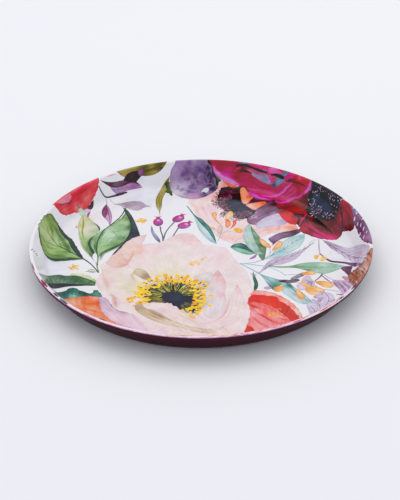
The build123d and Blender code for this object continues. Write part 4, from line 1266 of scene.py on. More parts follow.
def right_rim():
    """The purple spotted petal on the right wall, and the feather below it."""
    art = Motif("right_rim")
    art.petal([(170, 75), (171, 60), (170, 45), (172, 30), (173, 15), (176, 2), (180, -8), (185, -18),
        *rim_row(-5, 24, 8)], (128, 90, 124),
              [(176, 60, 8, (128, 110, 150)), (180, 30, 8, (126, 84, 116)), (184, -2, 8, (170, 124, 158)),
              (174, 20, 7, (110, 72, 100)), (176, 74, 7, (150, 140, 176))],
              corners=(0, 7), ruffle=0.8, flow=("along", (0.2, -1)), streak=1.0)
    for x, y, size in ((173.5, 45, 3.0), (175.5, 34, 2.6), (179, 28, 2.6), (174.5, 17, 2.6),
            (181.5, 18.5, 2.8), (178.5, 6, 2.8), (171, 54, 1.8), (178, 50, 2.2),
                       (176, 62, 1.8), (184, 8, 2.0), (183, 36, 2.0)):
        art.wash(oval((x, y), size, size * 0.42, 62, 9), (222, 214, 228), pool=0)
    art.stroke([(164, 82), (168, 72), (171, 58), (171, 46)], (5, 8, 5, 2), (168, 4, 62))
    for x, y in ((183, 46), (186, 34), (188, 22), (189, 10)):
        art.shade([(x, y), (x + 1, y - 6)], (2, 5, 2), (178, 160, 196), 0.8)
    art.petal([(148, -36), (153, -32), (160, -33), (168, -36), (176, -36), (182, -30), (186, -25),
        *rim_row(352, 329, 8),
               (157, -106), (153, -94), (151, -78), (148, -58)], (172, 112, 84),
              [(150, -60, 6, (116, 66, 48)), (157, -40, 6, (168, 100, 66)), (170, -50, 8, (190, 132, 104)),
              (154, -86, 7, (122, 60, 42)),
               (163, -76, 7, (160, 100, 78)), (176, -66, 8, (206, 160, 142)), (184, -40, 7, (196, 128, 104)),
               (166, -34, 5, (116, 50, 40)), (180, -52, 6, (186, 110, 90))],
              corners=(0,), flow=("along", (0.25, -1)), streak=1.4, pool=0.3)
    rng = random.Random(71)
    for i in range(46):
        share = i / 45
        x = 150 + 32 * share + rng.uniform(-1, 1)
        y = rng.uniform(-88, -40) + 20 * (share - 0.5)
        long = rng.uniform(4, 10)
        colour = rng.choice(((120, 62, 40), (226, 196, 176), (96, 46, 34), (206, 150, 120), (238, 224, 214)))
        art.stroke([(x, y), (x + long * 0.16, y - long * 0.5), (x + long * 0.2, y - long)], (0.6, 1.5, 0.4),
            colour, opacity=0.8)
    for x in (152, 158, 166, 174, 180):
        art.stroke([(x - 4, -30), (x, -35), (x + 2, -42)], (0.6, 1.8, 0.5), (104, 44, 38), opacity=0.8)
    art.petal([(143, -22), (150, -19), (155, -22), (153, -28), (150, -36), (146, -30)], (120, 78, 104),
        [(150, -22, 4, (92, 50, 78))], streak=0.9)
    art.stroke([(155, -104), (166, -96), (176, -84)], (2, 4, 2), (74, 60, 84))
    return art


def front_right_leaves():
    """The tangle of small leaves, buds and stems at the lower right, running up the wall."""
    art = Motif("front_right_leaves")
    for row, widths, colour in (
            ([(123, -33), (119, -40), (114, -46)], (1.6, 1.2, 1.0), (96, 66, 82)),
            ([(122, -36), (126, -43), (131, -50)], (1.0, 1.8, 0.8), (164, 104, 128)),
            ([(124, -34), (130, -42), (136, -47)], (0.6, 0.8, 0.6), (160, 130, 160)),
            ([(87, -43), (88, -52), (90, -60)], (0.8, 1.0, 0.8), (170, 176, 172)),
            ([(87, -44), (83, -50), (80, -56)], (0.8, 1.0, 0.8), (170, 170, 150)),
            ([(88, -46), (98, -50), (108, -56)], (0.8, 1.0, 0.6), (176, 176, 180)),
            ([(116, -62), (126, -62), (136, -66), (142, -72)], (0.6, 1.2, 1.2, 0.8), (190, 180, 200)),
            ([(110, -50), (116, -58), (118, -70)], (0.8, 1.0, 0.8), (160, 146, 172))):
        art.stroke(row, widths, colour)
    art.petal([(59, -31), (64, -35), (71, -39), (78, -43), (84, -49), (80, -53), (74, -56), (72, -60),
        (75, -65), (70, -60), (66, -50), (63, -41)], (140, 180, 178),
              [(68, -42, 6, (164, 198, 204)), (80, -48, 5, (112, 160, 140)), (72, -56, 5, (84, 138, 116)),
              (74, -63, 3, (150, 188, 194))], corners=(0, 4, 8),
              flow=("along", (0.7, -1)), streak=1.0)
    art.stroke([(60, -33), (68, -44), (74, -56)], (0.6, 0.8, 0.4), (100, 150, 150))
    art.petal([(78, -42), (84, -44), (88, -48), (92, -56), (98, -64), (104, -74), (109, -84), (100, -87),
        (92, -82), (86, -74), (80, -66), (81, -55)], (186, 208, 212),
              [(88, -54, 5, (76, 130, 116)), (97, -68, 5, (84, 136, 120)), (92, -78, 6, (196, 214, 216)),
              (104, -82, 5, (150, 186, 182)), (84, -62, 5, (186, 210, 218))],
              corners=(0, 6), flow=("along", (0.7, -1)), streak=1.0)
    art.stroke([(84, -46), (92, -62), (104, -82)], (0.8, 1.2, 0.5), (66, 116, 104))
    art.petal([(104, -84), (110, -84), (114, -89), (112, -96), (108, -104), (104, -98), (102, -91)],
        (200, 196, 216), streak=0.9)
    art.petal([(103, -40), (109, -36), (111, -44), (108, -56), (102, -62), (97, -62), (95, -54), (99, -50)],
        (212, 198, 216),
              [(106, -46, 5, (204, 186, 208)), (99, -57, 5, (218, 206, 222))], flow=("along", (0.2, -1)),
              streak=0.9)
    for outline, colour, tints in (
            ([(78, -46), (84, -43), (88, -44), (92, -42), (99, -43), (98, -46), (92, -49), (86, -49)],
            (128, 112, 124), [(82, -46, 4, (78, 52, 70)), (96, -44, 4, (112, 90, 104))]),
            ([(90, -42), (94, -37), (99, -33), (104, -30), (105, -35), (100, -39), (96, -42)],
            (158, 150, 160), [(103, -36, 3, (128, 120, 132))]),
            ([(106, -48), (109, -46), (112, -47), (111, -51), (107, -51)], (96, 62, 82), []),
            ([(112, -72), (118, -70), (124, -72), (122, -76), (116, -77), (110, -76)], (190, 160, 190), []),
            ([(113, -82), (116, -76), (118, -77), (117, -82), (115, -84)], (104, 68, 92), []),
            ([(124, -83), (127, -80), (131, -79), (129, -83), (126, -85)], (192, 120, 152), []),
            ([(62, -58), (67, -55), (70, -58), (66, -61)], (206, 170, 206), []),
            ([(142, -38), (146, -38), (149, -44), (147, -47), (143, -42)], (204, 150, 172), []),
            ([(106, -64), (112, -60), (116, -66), (112, -71), (106, -68)], (206, 194, 212), [])):
        art.petal(outline, colour, tints, streak=0.8)
    for outline, deep in (
            ([(72, -60), (74, -56), (79, -54), (82, -57), (80, -63), (77, -65), (73, -64)], (75, -60)),
            ([(94, -60), (97, -61), (99, -67), (102, -74), (100, -78), (96, -77), (94, -70)], (97, -76)),
            ([(102, -32), (106, -29), (112, -27), (116, -30), (115, -34), (108, -35), (103, -35)],
            (106, -31)),
            ([(97, -49), (102, -48), (108, -53), (116, -57), (122, -62), (121, -68), (114, -72), (108, -70),
            (103, -63), (104, -58)], (108, -60)),
            ([(113, -47), (120, -46), (128, -48), (132, -53), (130, -58), (124, -58), (118, -53)],
            (119, -49))):
        art.petal(outline, (244, 204, 150), [(*deep, 5, (240, 172, 92))], corners=(0,),
            flow=("along", (1, -0.8)),
                  streak=1.0, pool=1.4)
    for row in ([(99, -50), (108, -58), (118, -68)], [(102, -62), (110, -64), (120, -66)],
            [(116, -48), (122, -52), (129, -56)], [(74, -62), (78, -58), (80, -56)]):
        art.stroke(row, (0.5, 1.2, 0.4), (226, 160, 92))
    for points in ([(118, -64), (123, -68), (122, -76), (116, -82)],
            [(122, -66), (130, -72), (128, -84), (120, -90)],
                   [(108, -78), (116, -82), (120, -92), (114, -100)],
                   [(106, -90), (112, -94), (112, -104), (106, -108)],
                   [(104, -44), (110, -42), (114, -48), (110, -56)]):
        art.petal(points + [np.mean(points, 0) + (-6, 2)], (206, 192, 212), opacity=0.85, streak=1.0,
            pool=1.6)
        art.stroke([points[0], np.mean(points, 0), points[3]], (0.5, 0.8, 0.4), (140, 112, 148))
    rng = random.Random(81)
    art.petal([(132, -45), (138, -44.5), (146, -46), (149, -54), (150, -64), (152, -80), (155, -98),
        (159, -108), *rim_row(326, 312, 5), (128, -118), (136, -112), (141, -100),
               (142, -88), (140, -74), (136, -60), (133, -54)], (208, 192, 214),
              [(138, -52, 6, (150, 104, 144)), (146, -58, 6, (126, 78, 116)), (147, -78, 6, (186, 150, 188)),
              (150, -104, 7, (206, 186, 210)), (140, -120, 8, (214, 208, 222))],
              flow=("about", (100, -90)), streak=1.2, pool=0.3)
    for i in range(13):
        shift = i * 1.25
        colour = rng.choice(((152, 112, 150), (190, 160, 196), (128, 88, 122), (224, 214, 230),
            (176, 140, 180), (232, 226, 238)))
        art.shade([(134 + shift * 0.8, -47 - shift * 0.1), (139 + shift * 0.8, -62),
            (140.5 + shift * 0.85, -82), (142 + shift, -108), (136 + shift * 1.2, -122 + shift * 0.3)],
                  (1.6, 2.6, 2.4, 2.2, 1.2), colour, 0.85)
    art.stroke([(133, -70), (137, -72), (140, -78), (142, -92), (143, -108), (141, -116)],
        (1, 3, 3, 2.4, 2.4, 1), (120, 76, 104))
    art.petal([(104, -140), (112, -130), (122, -122), (132, -114), (140, -116), (146, -116),
        *rim_row(321, 304, 6)], (222, 220, 232),
              [(126, -126, 8, (206, 196, 214)), (134, -124, 5, (196, 178, 204))], flow=("along", (0.7, -1)),
              streak=0.8, pool=0)
    for x, y in ((112, -136), (118, -130), (124, -126), (130, -124), (136, -120)):
        art.shade([(x, y), (x + 5, y - 6), (x + 8, y - 14)], (1.5, 4, 2), (192, 174, 204), 0.8)
    art.stroke([(108, -150), (114, -146), (121, -143)], (1.2, 4, 1.2), (214, 84, 76))
    art.stroke([(122, -142), (127, -138), (131, -135)], (1.2, 4, 1.2), (112, 132, 154))
    return art


def lip_arc(start, end, back_from_edge, count=5):
    """Points along the curled edge between two angles, a distance in from where the print ends."""
    angle = np.radians(np.linspace(start, end, count))
    return (PRINT_EDGE - back_from_edge) * np.column_stack((np.cos(angle), np.sin(angle)))


def lip_print_and_highlight():
    """What of the print wraps over the curled edge at the front: broken bright dashes over a pale band, which
    is partly painted highlight where the rounded lip catches light.
    """
    art = Motif("lip_print_and_highlight")
    pale = ((236, 220, 230), (230, 214, 226), (240, 226, 232), (226, 206, 222))
    warm = ((222, 108, 60), (204, 92, 62), (240, 168, 120), (232, 196, 180), (186, 70, 60), (236, 140, 90))
    red = ((226, 88, 74), (234, 120, 112), (240, 196, 206), (214, 60, 60))
    rng = random.Random(101)
    # the pale band along the front lip: partly the pale print there, partly painted highlight of the rounded
    # lip
    art.wash(np.vstack((lip_arc(202, 326, -1, 90), lip_arc(326, 202, 3.2, 90))), (234, 226, 236), pool=0,
        streak=0.3)
    for start, end, low, high, length, colours in ((222, 262, 0.6, 3.0, 3.0, pale),
            (254, 290, 1.7, 3.4, 2.2, warm),
                                                   (288, 312, 1.2, 3.2, 3.5, red),
                                                   (314, 322, 1.2, 2.4, 2.5, red),
                                                   (222, 300, 0.0, 0.5, 3.0,
                                                   ((206, 120, 168), (226, 160, 196)))):
        angle = start
        while angle < end:
            reach = length * rng.uniform(0.4, 1.3)
            width = rng.uniform(0.6, 1.4)
            row = lip_arc(angle, angle + reach, rng.uniform(low, high), 4)
            art.stroke(row, (width * 0.5, width, width * 0.5), rng.choice(colours))
            angle += reach * rng.uniform(0.4, 0.9)
    for start, end, distance, width, colour in ((207, 212, 1.8, 3.2, (150, 24, 84)),
            (196, 201, 0.8, 1.2, (140, 30, 90)),
                                                (216, 219, 2.0, 2.2, (40, 36, 48)),
                                                (220, 224, 1.6, 3.0, (64, 128, 132)),
                                                (237, 240, 3.0, 1.2, (44, 34, 40)),
                                                (318, 320, 1.5, 2.0, (70, 110, 120)),
                                                (325, 329, 1.4, 1.8, (120, 60, 90)),
                                                (204, 236, 0.2, 0.7, (196, 70, 130))):
        art.stroke(lip_arc(start, end, distance, 6), (width * 0.4, width, width * 0.4), colour)
    return art


MOTIFS = (painted_wall_shade, left_red_flower, olive_and_plum_leaves, plum_fruit, peach_flower, dark_red_poppies,
          magenta_peony, right_leaves, right_rim, middle_leaves, rosehips, left_leaves, front_left_leaves,
          orange_poppy, coral_peony, front_right_leaves, pink_poppy, lip_print_and_highlight)


# ---------------------------------------------------------------- one mesh from all the shapes


def plan_points():
    """Points all over the plan, close enough to carry the face's curves and the paint's soft changes."""
    points = []
    row_gap = GRID * math.sqrt(3) / 2
    rows = int(FLOOR_EDGE / row_gap)
    for j in range(-rows, rows + 1):
        y = j * row_gap
        half = math.sqrt(max(0.0, (FLOOR_EDGE - GRID * 0.6) ** 2 - y * y))
        count = int(half / GRID)
        points += [((i + 0.5 * (j % 2)) * GRID, y) for i in range(-count, count)]
    curved = np.arange(FLOOR_EDGE, WALL_TOP, RING_GAP)
    bead = np.arange(WALL_TOP, PRINT_EDGE - BEAD_RING_GAP / 2, BEAD_RING_GAP)
    for k, distance in enumerate(np.concatenate((curved, bead))):
        for i in range(RING_COUNT):
            angle = 2 * math.pi * (i + 0.5 * (k % 2)) / RING_COUNT
            points.append((distance * math.cos(angle), distance * math.sin(angle)))
    return np.array(points)


GRID = 1.7                      # millimetres between points on the floor
RING_GAP = 1.5
BEAD_RING_GAP = 0.5
RING_COUNT = 640
CUT_TOLERANCE = 1e-4            # millimetres between points that count as one


def edge_circle():
    """The plan's outer edge, where the face coats end on the outside of the bead."""
    angle = np.linspace(0, 2 * math.pi, RING_COUNT, endpoint=False)
    return PRINT_EDGE * np.column_stack((np.cos(angle), np.sin(angle)))


class Sheet:
    """The whole painted plan as triangles, with the colour and brush marks at each corner."""

    def __init__(self, motifs):
        self.shapes = [Shape(edge_circle(), GROUND_COLOUR, (), 1, 0, ("along", (1, 0)), 0, 0)]
        self.group_of_shape = [0]
        for number, motif in enumerate(motifs, 1):
            self.shapes += motif.shapes
            self.group_of_shape += [number] * len(motif.shapes)
        self.cut()
        self.paint()

    def cut(self):
        """Cuts all the outlines into triangles, and notes which shapes lie over each triangle."""
        points = [plan_points()]
        edges = []
        used = len(points[0])
        for shape in self.shapes:
            size = len(shape.outline)
            points.append(shape.outline)
            edges += [(used + i, used + (i + 1) % size) for i in range(size)]
            used += size
        flat = [Vector(p) for p in np.vstack(points)]
        plan, _, faces, _, _, _ = delaunay_2d_cdt(flat, edges, [], 1, CUT_TOLERANCE, False)
        self.plan = np.array([tuple(p) for p in plan])
        self.triangles = np.array(faces)
        middles = self.plan[self.triangles].mean(1)
        inside = self.shapes[0].covers(middles)
        self.triangles = self.triangles[inside]
        middles = middles[inside]
        by_x = np.argsort(middles[:, 0])
        sorted_x = middles[by_x, 0]
        self.group = np.zeros(len(middles), int)
        self.faces_of_shape = {}
        for number, shape in enumerate(self.shapes):
            low, high = shape.outline.min(0), shape.outline.max(0)
            near = by_x[np.searchsorted(sorted_x, low[0]):np.searchsorted(sorted_x, high[0])]
            near = near[(middles[near, 1] >= low[1]) & (middles[near, 1] <= high[1])]
            under = near[shape.covers(middles[near])]
            if len(under):
                self.faces_of_shape[number] = under
                self.group[under] = self.group_of_shape[number]

    def paint(self):
        """Lays the shapes' colours over each other, first to last, at each triangle's corners."""
        count = len(self.triangles)
        self.colour = np.zeros((count, 3, 3))
        self.marks = np.zeros((count, 3, 3))
        self.pool = np.zeros((count, 3))
        for number, faces in self.faces_of_shape.items():
            shape = self.shapes[number]
            corners = self.triangles[faces]
            used, place = np.unique(corners, return_inverse=True)
            place = place.reshape(corners.shape)
            points = self.plan[used]
            colours = shape.colours(points)
            cover = np.full(len(points), shape.opacity)
            if shape.feather or shape.pool:
                edge = shape.edge_distance(points)
            if shape.feather:
                rise = np.clip(edge / shape.feather, 0, 1)
                cover = cover * rise * rise * (3 - 2 * rise)
            cover = cover[place][..., None]
            self.colour[faces] += (colours[place] - self.colour[faces]) * cover
            if shape.opacity == 1 and not shape.feather:
                along, across = shape.brush_run(points)
                streak = np.full(len(points), shape.streak)
                self.marks[faces] = np.column_stack((along, across, streak))[place]
                pool = shape.pool * np.exp(-edge / POOL_WIDTH) if shape.pool else np.zeros(len(points))
                self.pool[faces] = pool[place]

    def piece(self, name, group):
        """The triangles of one group as a mesh laid on the tray's face."""
        chosen = np.flatnonzero(self.group == group)
        used, place = np.unique(self.triangles[chosen], return_inverse=True)
        points, normals = on_face(self.plan[used])
        mesh = bpy.data.meshes.new(name)
        mesh.from_pydata(points, [], place.reshape(-1, 3))
        mesh.normals_split_custom_set_from_vertices(normals)
        linear = np.ones((len(chosen) * 3, 4))
        linear[:, :3] = self.colour[chosen].reshape(-1, 3) ** DISPLAY_GAMMA * PAINT_GAIN - SHEEN
        linear = np.clip(linear, *PAINT_LIMITS)
        add_attribute(mesh, "paint", "FLOAT_COLOR", "color", linear)
        add_attribute(mesh, "marks", "FLOAT_VECTOR", "vector", self.marks[chosen])
        add_attribute(mesh, "pool", "FLOAT", "value", self.pool[chosen])
        return new_piece(name, mesh)


GROUND_COLOUR = (232, 232, 238)
POOL_WIDTH = 0.8                # millimetres that colour gathers inside an outline
DISPLAY_GAMMA = 2.2
PAINT_GAIN = 1.02               # makes up for light that the lacquer keeps from the paint
SHEEN = 0.030                   # light that the lacquer sends back from over the paint
PAINT_LIMITS = (0.002, 0.92)    # no paint reflects less or more


def add_attribute(mesh, name, kind, field, values):
    """Gives each face corner of the mesh a value."""
    attribute = mesh.attributes.new(name, kind, "CORNER")
    attribute.data.foreach_set(field, np.asarray(values, np.float32).ravel())


def new_piece(name, mesh):
    """An object that rides with the tray."""
    piece = bpy.data.objects.new(name, mesh)
    bpy.context.scene.collection.objects.link(piece)
    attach(piece, "root")
    return piece


def on_face(plan):
    """Where points of the plan lie on the tray's face, in metres, and the face's normal there."""
    away = np.hypot(*plan.T)
    way = plan / np.maximum(1e-9, away)[:, None]
    radius, height, out, up = FACE.at(np.minimum(away, PRINT_EDGE))
    points = np.column_stack((way * radius[:, None], height)) * MM
    normals = np.column_stack((way * out[:, None], up))
    return points.tolist(), normals.tolist()


# ---------------------------------------------------------------- the lacquered back and the coats' edge


def lathe(name, section_points, closed):
    """A mesh turned about the tray's axis from points of radius and height in millimetres."""
    rings = []
    verts = []
    for radius, height in section_points:
        if radius < 1e-6:
            rings.append([len(verts)] * LATHE_COUNT)
            verts.append((0, 0, height * MM))
            continue
        rings.append(list(range(len(verts), len(verts) + LATHE_COUNT)))
        for i in range(LATHE_COUNT):
            angle = 2 * math.pi * i / LATHE_COUNT
            verts.append((radius * MM * math.cos(angle), radius * MM * math.sin(angle), height * MM))
    pairs = list(zip(rings, rings[1:]))
    if closed:
        pairs.append((rings[-1], rings[0]))
    faces = []
    for low, high in pairs:
        for i in range(LATHE_COUNT):
            j = (i + 1) % LATHE_COUNT
            face = list(dict.fromkeys((low[i], low[j], high[j], high[i])))
            if len(face) > 2:
                faces.append(face)
    mesh = bpy.data.meshes.new(name)
    mesh.from_pydata(verts, [], faces)
    mesh.shade_smooth()
    mesh.set_sharp_from_angle(angle=math.radians(SHARP_ANGLE))
    return new_piece(name, mesh)


LATHE_COUNT = 360
SHARP_ANGLE = 35.0


def sampled(section, steps):
    """Points of a section about a millimetre apart, closer on its arcs."""
    distances = []
    for (start, run, *_), gap in zip(section.spans, steps):
        distances += list(np.linspace(start, start + run, max(2, round(run / gap) + 1))[:-1])
    distances.append(section.length)
    radius, height, _, _ = section.at(distances)
    return list(zip(radius, height))


def back_sections():
    """The outer and the inner line of the back lacquer, from the axis to its edge on the bead."""
    sections = []
    for depth in (0.0, COAT):
        bend_radius = BACK_BEND_RADIUS - depth
        bead_radius = BACK_BEAD_RADIUS - depth
        wall_gap = WALL_BACK_OFFSET + depth
        meeting = WALL_ANGLE + math.degrees(math.acos(wall_gap / bead_radius)) - 360
        section = Section()
        section.line((0, depth), (BEND_CENTRE[0], depth))
        section.arc(BEND_CENTRE, bend_radius, -90, -WALL_LEAN)
        section.line(polar(BEND_CENTRE, bend_radius, -WALL_LEAN), polar(BEAD_CENTRE, bead_radius, meeting))
        section.arc(BEAD_CENTRE, bead_radius, meeting, COAT_EDGE_ANGLE)
        sections.append(section)
    return sections


def back_lacquer():
    """The burgundy lacquer under the floor, up the back of the wall and round the outside of the bead."""
    outer, inner = (sampled(section, BACK_STEPS) for section in back_sections())
    piece = lathe("back_coat", outer + inner[::-1], closed=False)
    piece.data.materials.append(lacquer_material("burgundy_lacquer", BURGUNDY))
    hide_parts("back_lacquer")


def coat_edge():
    """The rounded edge of the clear lacquer, on the outside of the bead where the face coats end."""
    middle = (BEAD_RADIUS + BACK_BEAD_RADIUS) / 2
    bulge = BEAD_RADIUS - middle
    centre = polar(BEAD_CENTRE, middle, COAT_EDGE_ANGLE)
    turns = np.linspace(COAT_EDGE_ANGLE, COAT_EDGE_ANGLE - 180, COAT_EDGE_POINTS)
    row = [polar(centre, bulge, turn) for turn in turns]
    piece = lathe("lacquer_edge", row, closed=False)
    # the edge's pale pink colour is a painted highlight
    piece.data.materials.append(lacquer_edge_highlight_material())
    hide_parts("clear_lacquer")


BACK_STEPS = (12.0, 1.2, 2.5, 0.35)     # millimetres between points on the floor, bend, wall and bead
BURGUNDY = (0.050, 0.004, 0.014)
COAT_EDGE_POINTS = 7

# ---------------------------------------------------------------- materials

COAT_WEIGHT = 0.7               # how strongly the clear lacquer shines over the face
BACK_COAT_WEIGHT = 0.3
COAT_ROUGHNESS = 0.08
UNDER_COAT_ROUGHNESS = 0.4
UNEVEN_SCALE = 260.0            # the scales of the noise patterns, in cycles per metre
SWELL_SCALE = 95.0
BLOOM_SCALE = 75.0
GRAIN_SCALE = 900.0
POOL_SCALE = 160.0
GROUND_CLOUD_SCALE = 26.0
BACK_CLOUD_SCALE = 40.0
EDGE_CLOUD_SCALE = 120.0
PAPER_SCALE = 9.0
STREAK_SCALE = (0.045, 0.42)    # along and across the brush marks, in cycles per millimetre
THINNEST_PAINT = 0.35

class Nodes:
    """A new material, with short ways to add nodes and join them."""

    def __init__(self, name):
        self.material = bpy.data.materials.new(name)
        self.material.use_nodes = True
        self.tree = self.material.node_tree
        self.shader = self.tree.nodes["Principled BSDF"]

    def add(self, kind, settings=None, **inputs):
        """A node, with its settings and its inputs, each a value or another node's output."""
        node = self.tree.nodes.new("ShaderNode" + kind)
        for key, value in (settings or {}).items():
            setattr(node, key, value)
        for key, value in inputs.items():
            socket = node.inputs[int(key[1:]) if key[1:].isdigit() else key.replace("_", " ")]
            if isinstance(value, bpy.types.NodeSocket):
                self.tree.links.new(value, socket)
            else:
                socket.default_value = value
        return node

    def noise(self, vector, scale, detail=3.0, roughness=0.55):
        """A noise pattern's value."""
        node = self.add("TexNoise", None, Vector=vector, Scale=scale, Detail=detail, Roughness=roughness)
        return node.outputs["Fac"]

    def maths(self, operation, first, second):
        """The result of a sum, product or other operation."""
        return self.add("Math", {"operation": operation}, _0=first, _1=second).outputs[0]

    def spread(self, value, middle, amount):
        """A value from 0 to 1 moved to lie about a middle."""
        return self.maths("ADD", self.maths("MULTIPLY", value, amount), middle - amount / 2)

    def join(self, output, socket):
        self.tree.links.new(output, self.shader.inputs[socket])

    def gloss_coat(self, place, weight=COAT_WEIGHT):
        """The clear lacquer: a hard gloss with the faint unevenness of a sprayed coat."""
        self.shader.inputs["Roughness"].default_value = UNDER_COAT_ROUGHNESS
        self.shader.inputs["Specular IOR Level"].default_value = 0.0
        self.shader.inputs["Coat Weight"].default_value = weight
        self.shader.inputs["Coat Roughness"].default_value = COAT_ROUGHNESS
        self.join(self.spread(self.noise(place, UNEVEN_SCALE), 0.42, 0.3), "Roughness")
        swell = self.noise(place, SWELL_SCALE, 2.0)
        bump = self.add("Bump", None, Strength=0.12, Distance=0.0006, Height=swell)
        self.join(bump.outputs["Normal"], "Coat Normal")
        self.join(bump.outputs["Normal"], "Normal")


def place_on_object(nodes):
    return nodes.add("TexCoord").outputs["Object"]


def print_material():
    """Watercolour-like printed colour: streaks along the brush marks, blooms, and darker edges."""
    nodes = Nodes("floral_print")
    place = place_on_object(nodes)
    paint = nodes.add("Attribute", {"attribute_name": "paint"}).outputs["Color"]
    marks = nodes.add("Attribute", {"attribute_name": "marks"}).outputs["Vector"]
    pool = nodes.add("Attribute", {"attribute_name": "pool"}).outputs["Fac"]
    split = nodes.add("SeparateXYZ", None, Vector=marks).outputs
    stretched = nodes.add(
        "CombineXYZ", None, X=nodes.maths("MULTIPLY", split["X"], STREAK_SCALE[0]),
        Y=nodes.maths("MULTIPLY", split["Y"], STREAK_SCALE[1])
    ).outputs[0]
    streaks = nodes.maths("MULTIPLY", nodes.spread(nodes.noise(stretched, 1.0, 5.0, 0.62), 0.0, 1.5),
        split["Z"])
    blooms = nodes.spread(nodes.noise(place, BLOOM_SCALE, 4.0, 0.6), 0.0, 1.1)
    grain = nodes.spread(nodes.noise(place, GRAIN_SCALE, 2.0), 0.0, 0.35)
    gathered = nodes.maths("MULTIPLY", pool, nodes.spread(nodes.noise(place, POOL_SCALE), 0.9, 1.2))
    density = nodes.maths("ADD", nodes.maths("ADD", streaks, blooms), nodes.maths("ADD", grain, gathered))
    density = nodes.maths("MAXIMUM", nodes.maths("ADD", density, 1.0), THINNEST_PAINT)
    tinted = nodes.add("Gamma", None, Color=paint, Gamma=density).outputs[0]
    nodes.join(tinted, "Base Color")
    nodes.gloss_coat(place)
    return nodes.material


def ground_material():
    """White enamel, with faint cloudiness under the lacquer."""
    nodes = Nodes("white_ground")
    place = place_on_object(nodes)
    clouds = nodes.noise(place, GROUND_CLOUD_SCALE, 4.0)
    ramp = nodes.add("Mix", {"data_type": "RGBA"}, Factor=clouds, _6=GROUND_LIGHT, _7=GROUND_DARK)
    nodes.join(ramp.outputs[2], "Base Color")
    nodes.gloss_coat(place)
    return nodes.material


GROUND_LIGHT = (0.84, 0.84, 0.865, 1)
GROUND_DARK = (0.81, 0.81, 0.84, 1)
# pale and deeper pink of the lacquer edge's painted highlight
EDGE_HIGHLIGHT_LIGHT = (0.55, 0.36, 0.45, 1)
EDGE_HIGHLIGHT_DARK = (0.30, 0.12, 0.20, 1)


def lacquer_material(name, colour):
    """Dark lacquer on the back, faintly cloudy, with a sprayed coat's uneven gloss."""
    nodes = Nodes(name)
    place = place_on_object(nodes)
    clouds = nodes.noise(place, BACK_CLOUD_SCALE, 4.0)
    darker = tuple(c * 0.7 for c in colour) + (1,)
    mixed = nodes.add("Mix", {"data_type": "RGBA"}, Factor=clouds, _6=tuple(colour) + (1,), _7=darker)
    nodes.join(mixed.outputs[2], "Base Color")
    nodes.gloss_coat(place, BACK_COAT_WEIGHT)
    return nodes.material


def lacquer_edge_highlight_material():
    """The edge of the clear lacquer, coloured pale pink over the burgundy: a painted highlight where the
    rounded edge catches light.
    """
    nodes = Nodes("gloss_lacquer")
    place = place_on_object(nodes)
    clouds = nodes.noise(place, EDGE_CLOUD_SCALE, 3.0)
    mixed = nodes.add("Mix", {"data_type": "RGBA"}, Factor=clouds, _6=EDGE_HIGHLIGHT_LIGHT, _7=EDGE_HIGHLIGHT_DARK)
    nodes.join(mixed.outputs[2], "Base Color")
    nodes.gloss_coat(place)
    return nodes.material


def steel_material(name, colour, scale):
    """Plain steel with fine rolling or drawing marks."""
    nodes = Nodes(name)
    place = place_on_object(nodes)
    marks = nodes.noise(place, scale, 6.0)
    darker = tuple(c * 0.8 for c in colour) + (1,)
    mixed = nodes.add("Mix", {"data_type": "RGBA"}, Factor=marks, _6=colour + (1,), _7=darker)
    nodes.join(mixed.outputs[2], "Base Color")
    nodes.join(nodes.spread(marks, 0.38, 0.25), "Roughness")
    nodes.shader.inputs["Metallic"].default_value = 1.0
    bump = nodes.add("Bump", None, Strength=0.15, Distance=0.0002, Height=marks)
    nodes.join(bump.outputs["Normal"], "Normal")
    return nodes.material


def dress_steel():
    """Gives the two hidden steel pieces their metal."""
    for node, colour, scale in STEELS:
        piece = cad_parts[node]
        piece.data.materials.clear()
        piece.data.materials.append(steel_material(node + "_steel", colour, scale))


STEELS = (
    ("pressed_shell", (0.58, 0.58, 0.60), 300.0),
    ("rim_wire", (0.50, 0.50, 0.52), 700.0),
)

# ---------------------------------------------------------------- stage


def studio_world():
    """Soft light from all round, cool near the floor and warmer overhead."""
    world = bpy.data.worlds.new("studio")
    world.use_nodes = True
    tree = world.node_tree
    direction = tree.nodes.new("ShaderNodeTexCoord")
    split = tree.nodes.new("ShaderNodeSeparateXYZ")
    ramp = tree.nodes.new("ShaderNodeValToRGB")
    ramp.color_ramp.elements[0].color = HORIZON_LIGHT
    ramp.color_ramp.elements[1].color = ZENITH_LIGHT
    tree.links.new(direction.outputs["Generated"], split.inputs[0])
    tree.links.new(split.outputs["Z"], ramp.inputs[0])
    background = tree.nodes["Background"]
    tree.links.new(ramp.outputs["Color"], background.inputs["Color"])
    background.inputs["Strength"].default_value = WORLD_LIGHT
    return world


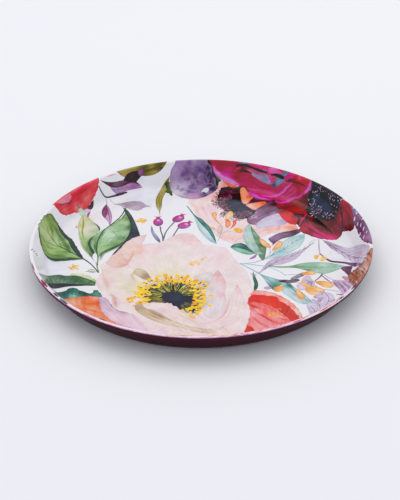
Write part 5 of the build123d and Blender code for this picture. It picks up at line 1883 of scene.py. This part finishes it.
def stage():
    """The floor, the light and the camera."""
    bpy.ops.mesh.primitive_circle_add(vertices=96, radius=9.0, fill_type="NGON", location=(0, 0, -0.0002))
    floor = bpy.context.object
    floor.name = "studio_floor"
    nodes = Nodes("studio_paper")
    place = place_on_object(nodes)
    grey = nodes.spread(nodes.noise(place, PAPER_SCALE), FLOOR_GREY, 0.01)
    tint = nodes.add(
        "CombineColor", None, Red=grey, Green=nodes.maths("MULTIPLY", grey, FLOOR_GREEN),
        Blue=nodes.maths("MULTIPLY", grey, FLOOR_BLUE)
    )
    nodes.join(tint.outputs[0], "Base Color")
    nodes.shader.inputs["Roughness"].default_value = 0.9
    nodes.shader.inputs["Specular IOR Level"].default_value = 0.1
    floor.data.materials.append(nodes.material)

    bpy.context.scene.world = studio_world()

    for name, place, size, power in LIGHTS:
        light = bpy.data.lights.new(name, "AREA")
        light.shape = "DISK"
        light.size = size
        light.energy = power
        light.color = LAMP_COLOUR
        lamp = bpy.data.objects.new(name, light)
        lamp.location = place
        lamp.rotation_euler = (-Vector(place)).to_track_quat("-Z", "Y").to_euler()
        bpy.context.scene.collection.objects.link(lamp)

    camera = bpy.data.cameras.new("camera")
    camera.sensor_width = CAMERA_SENSOR
    camera.lens = CAMERA_LENS
    camera.clip_end = 50.0
    eye = bpy.data.objects.new("camera", camera)
    tilt = Matrix.Rotation(math.radians(90 - CAMERA_PITCH), 4, "X")
    roll = Matrix.Rotation(math.radians(CAMERA_ROLL), 4, "Z")
    eye.matrix_world = Matrix.Translation(CAMERA_PLACE) @ tilt @ roll
    bpy.context.scene.collection.objects.link(eye)
    bpy.context.scene.camera = eye
    bpy.context.scene.view_settings.view_transform = "Standard"


FLOOR_GREY = 0.88
FLOOR_GREEN = 1.01              # the paper's green and blue, against its red
FLOOR_BLUE = 1.04
WORLD_LIGHT = 0.96
HORIZON_LIGHT = (0.72, 0.77, 0.93, 1)
ZENITH_LIGHT = (0.975, 0.96, 0.95, 1)
LAMP_COLOUR = (1.0, 0.94, 0.85)
LIGHTS = (
    ("left_softbox", (-0.75, 0.55, 1.7), 1.1, 2.9),
    ("right_softbox", (0.85, 0.95, 1.5), 2.0, 4.4),
)
CAMERA_PLACE = (-0.0009, -0.9679, 0.6082)
CAMERA_SENSOR = 36.0
CAMERA_LENS = 79.2
CAMERA_PITCH = 31.69
CAMERA_ROLL = -0.39


# ---------------------------------------------------------------- the whole tray


def build_face():
    """The printed motifs, each a piece, and the white ground between them."""
    motifs = [make() for make in MOTIFS]
    sheet = Sheet(motifs)
    printed = print_material()
    for number, motif in enumerate(motifs, 1):
        if not (sheet.group == number).any():
            continue
        piece = sheet.piece("print_" + motif.name, number)
        piece.data.materials.append(printed)
        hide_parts("printed_decoration")
    ground = sheet.piece("ground", 0)
    ground.data.materials.append(ground_material())
    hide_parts("ground_coat")


build_face()
back_lacquer()
coat_edge()
dress_steel()
stage()
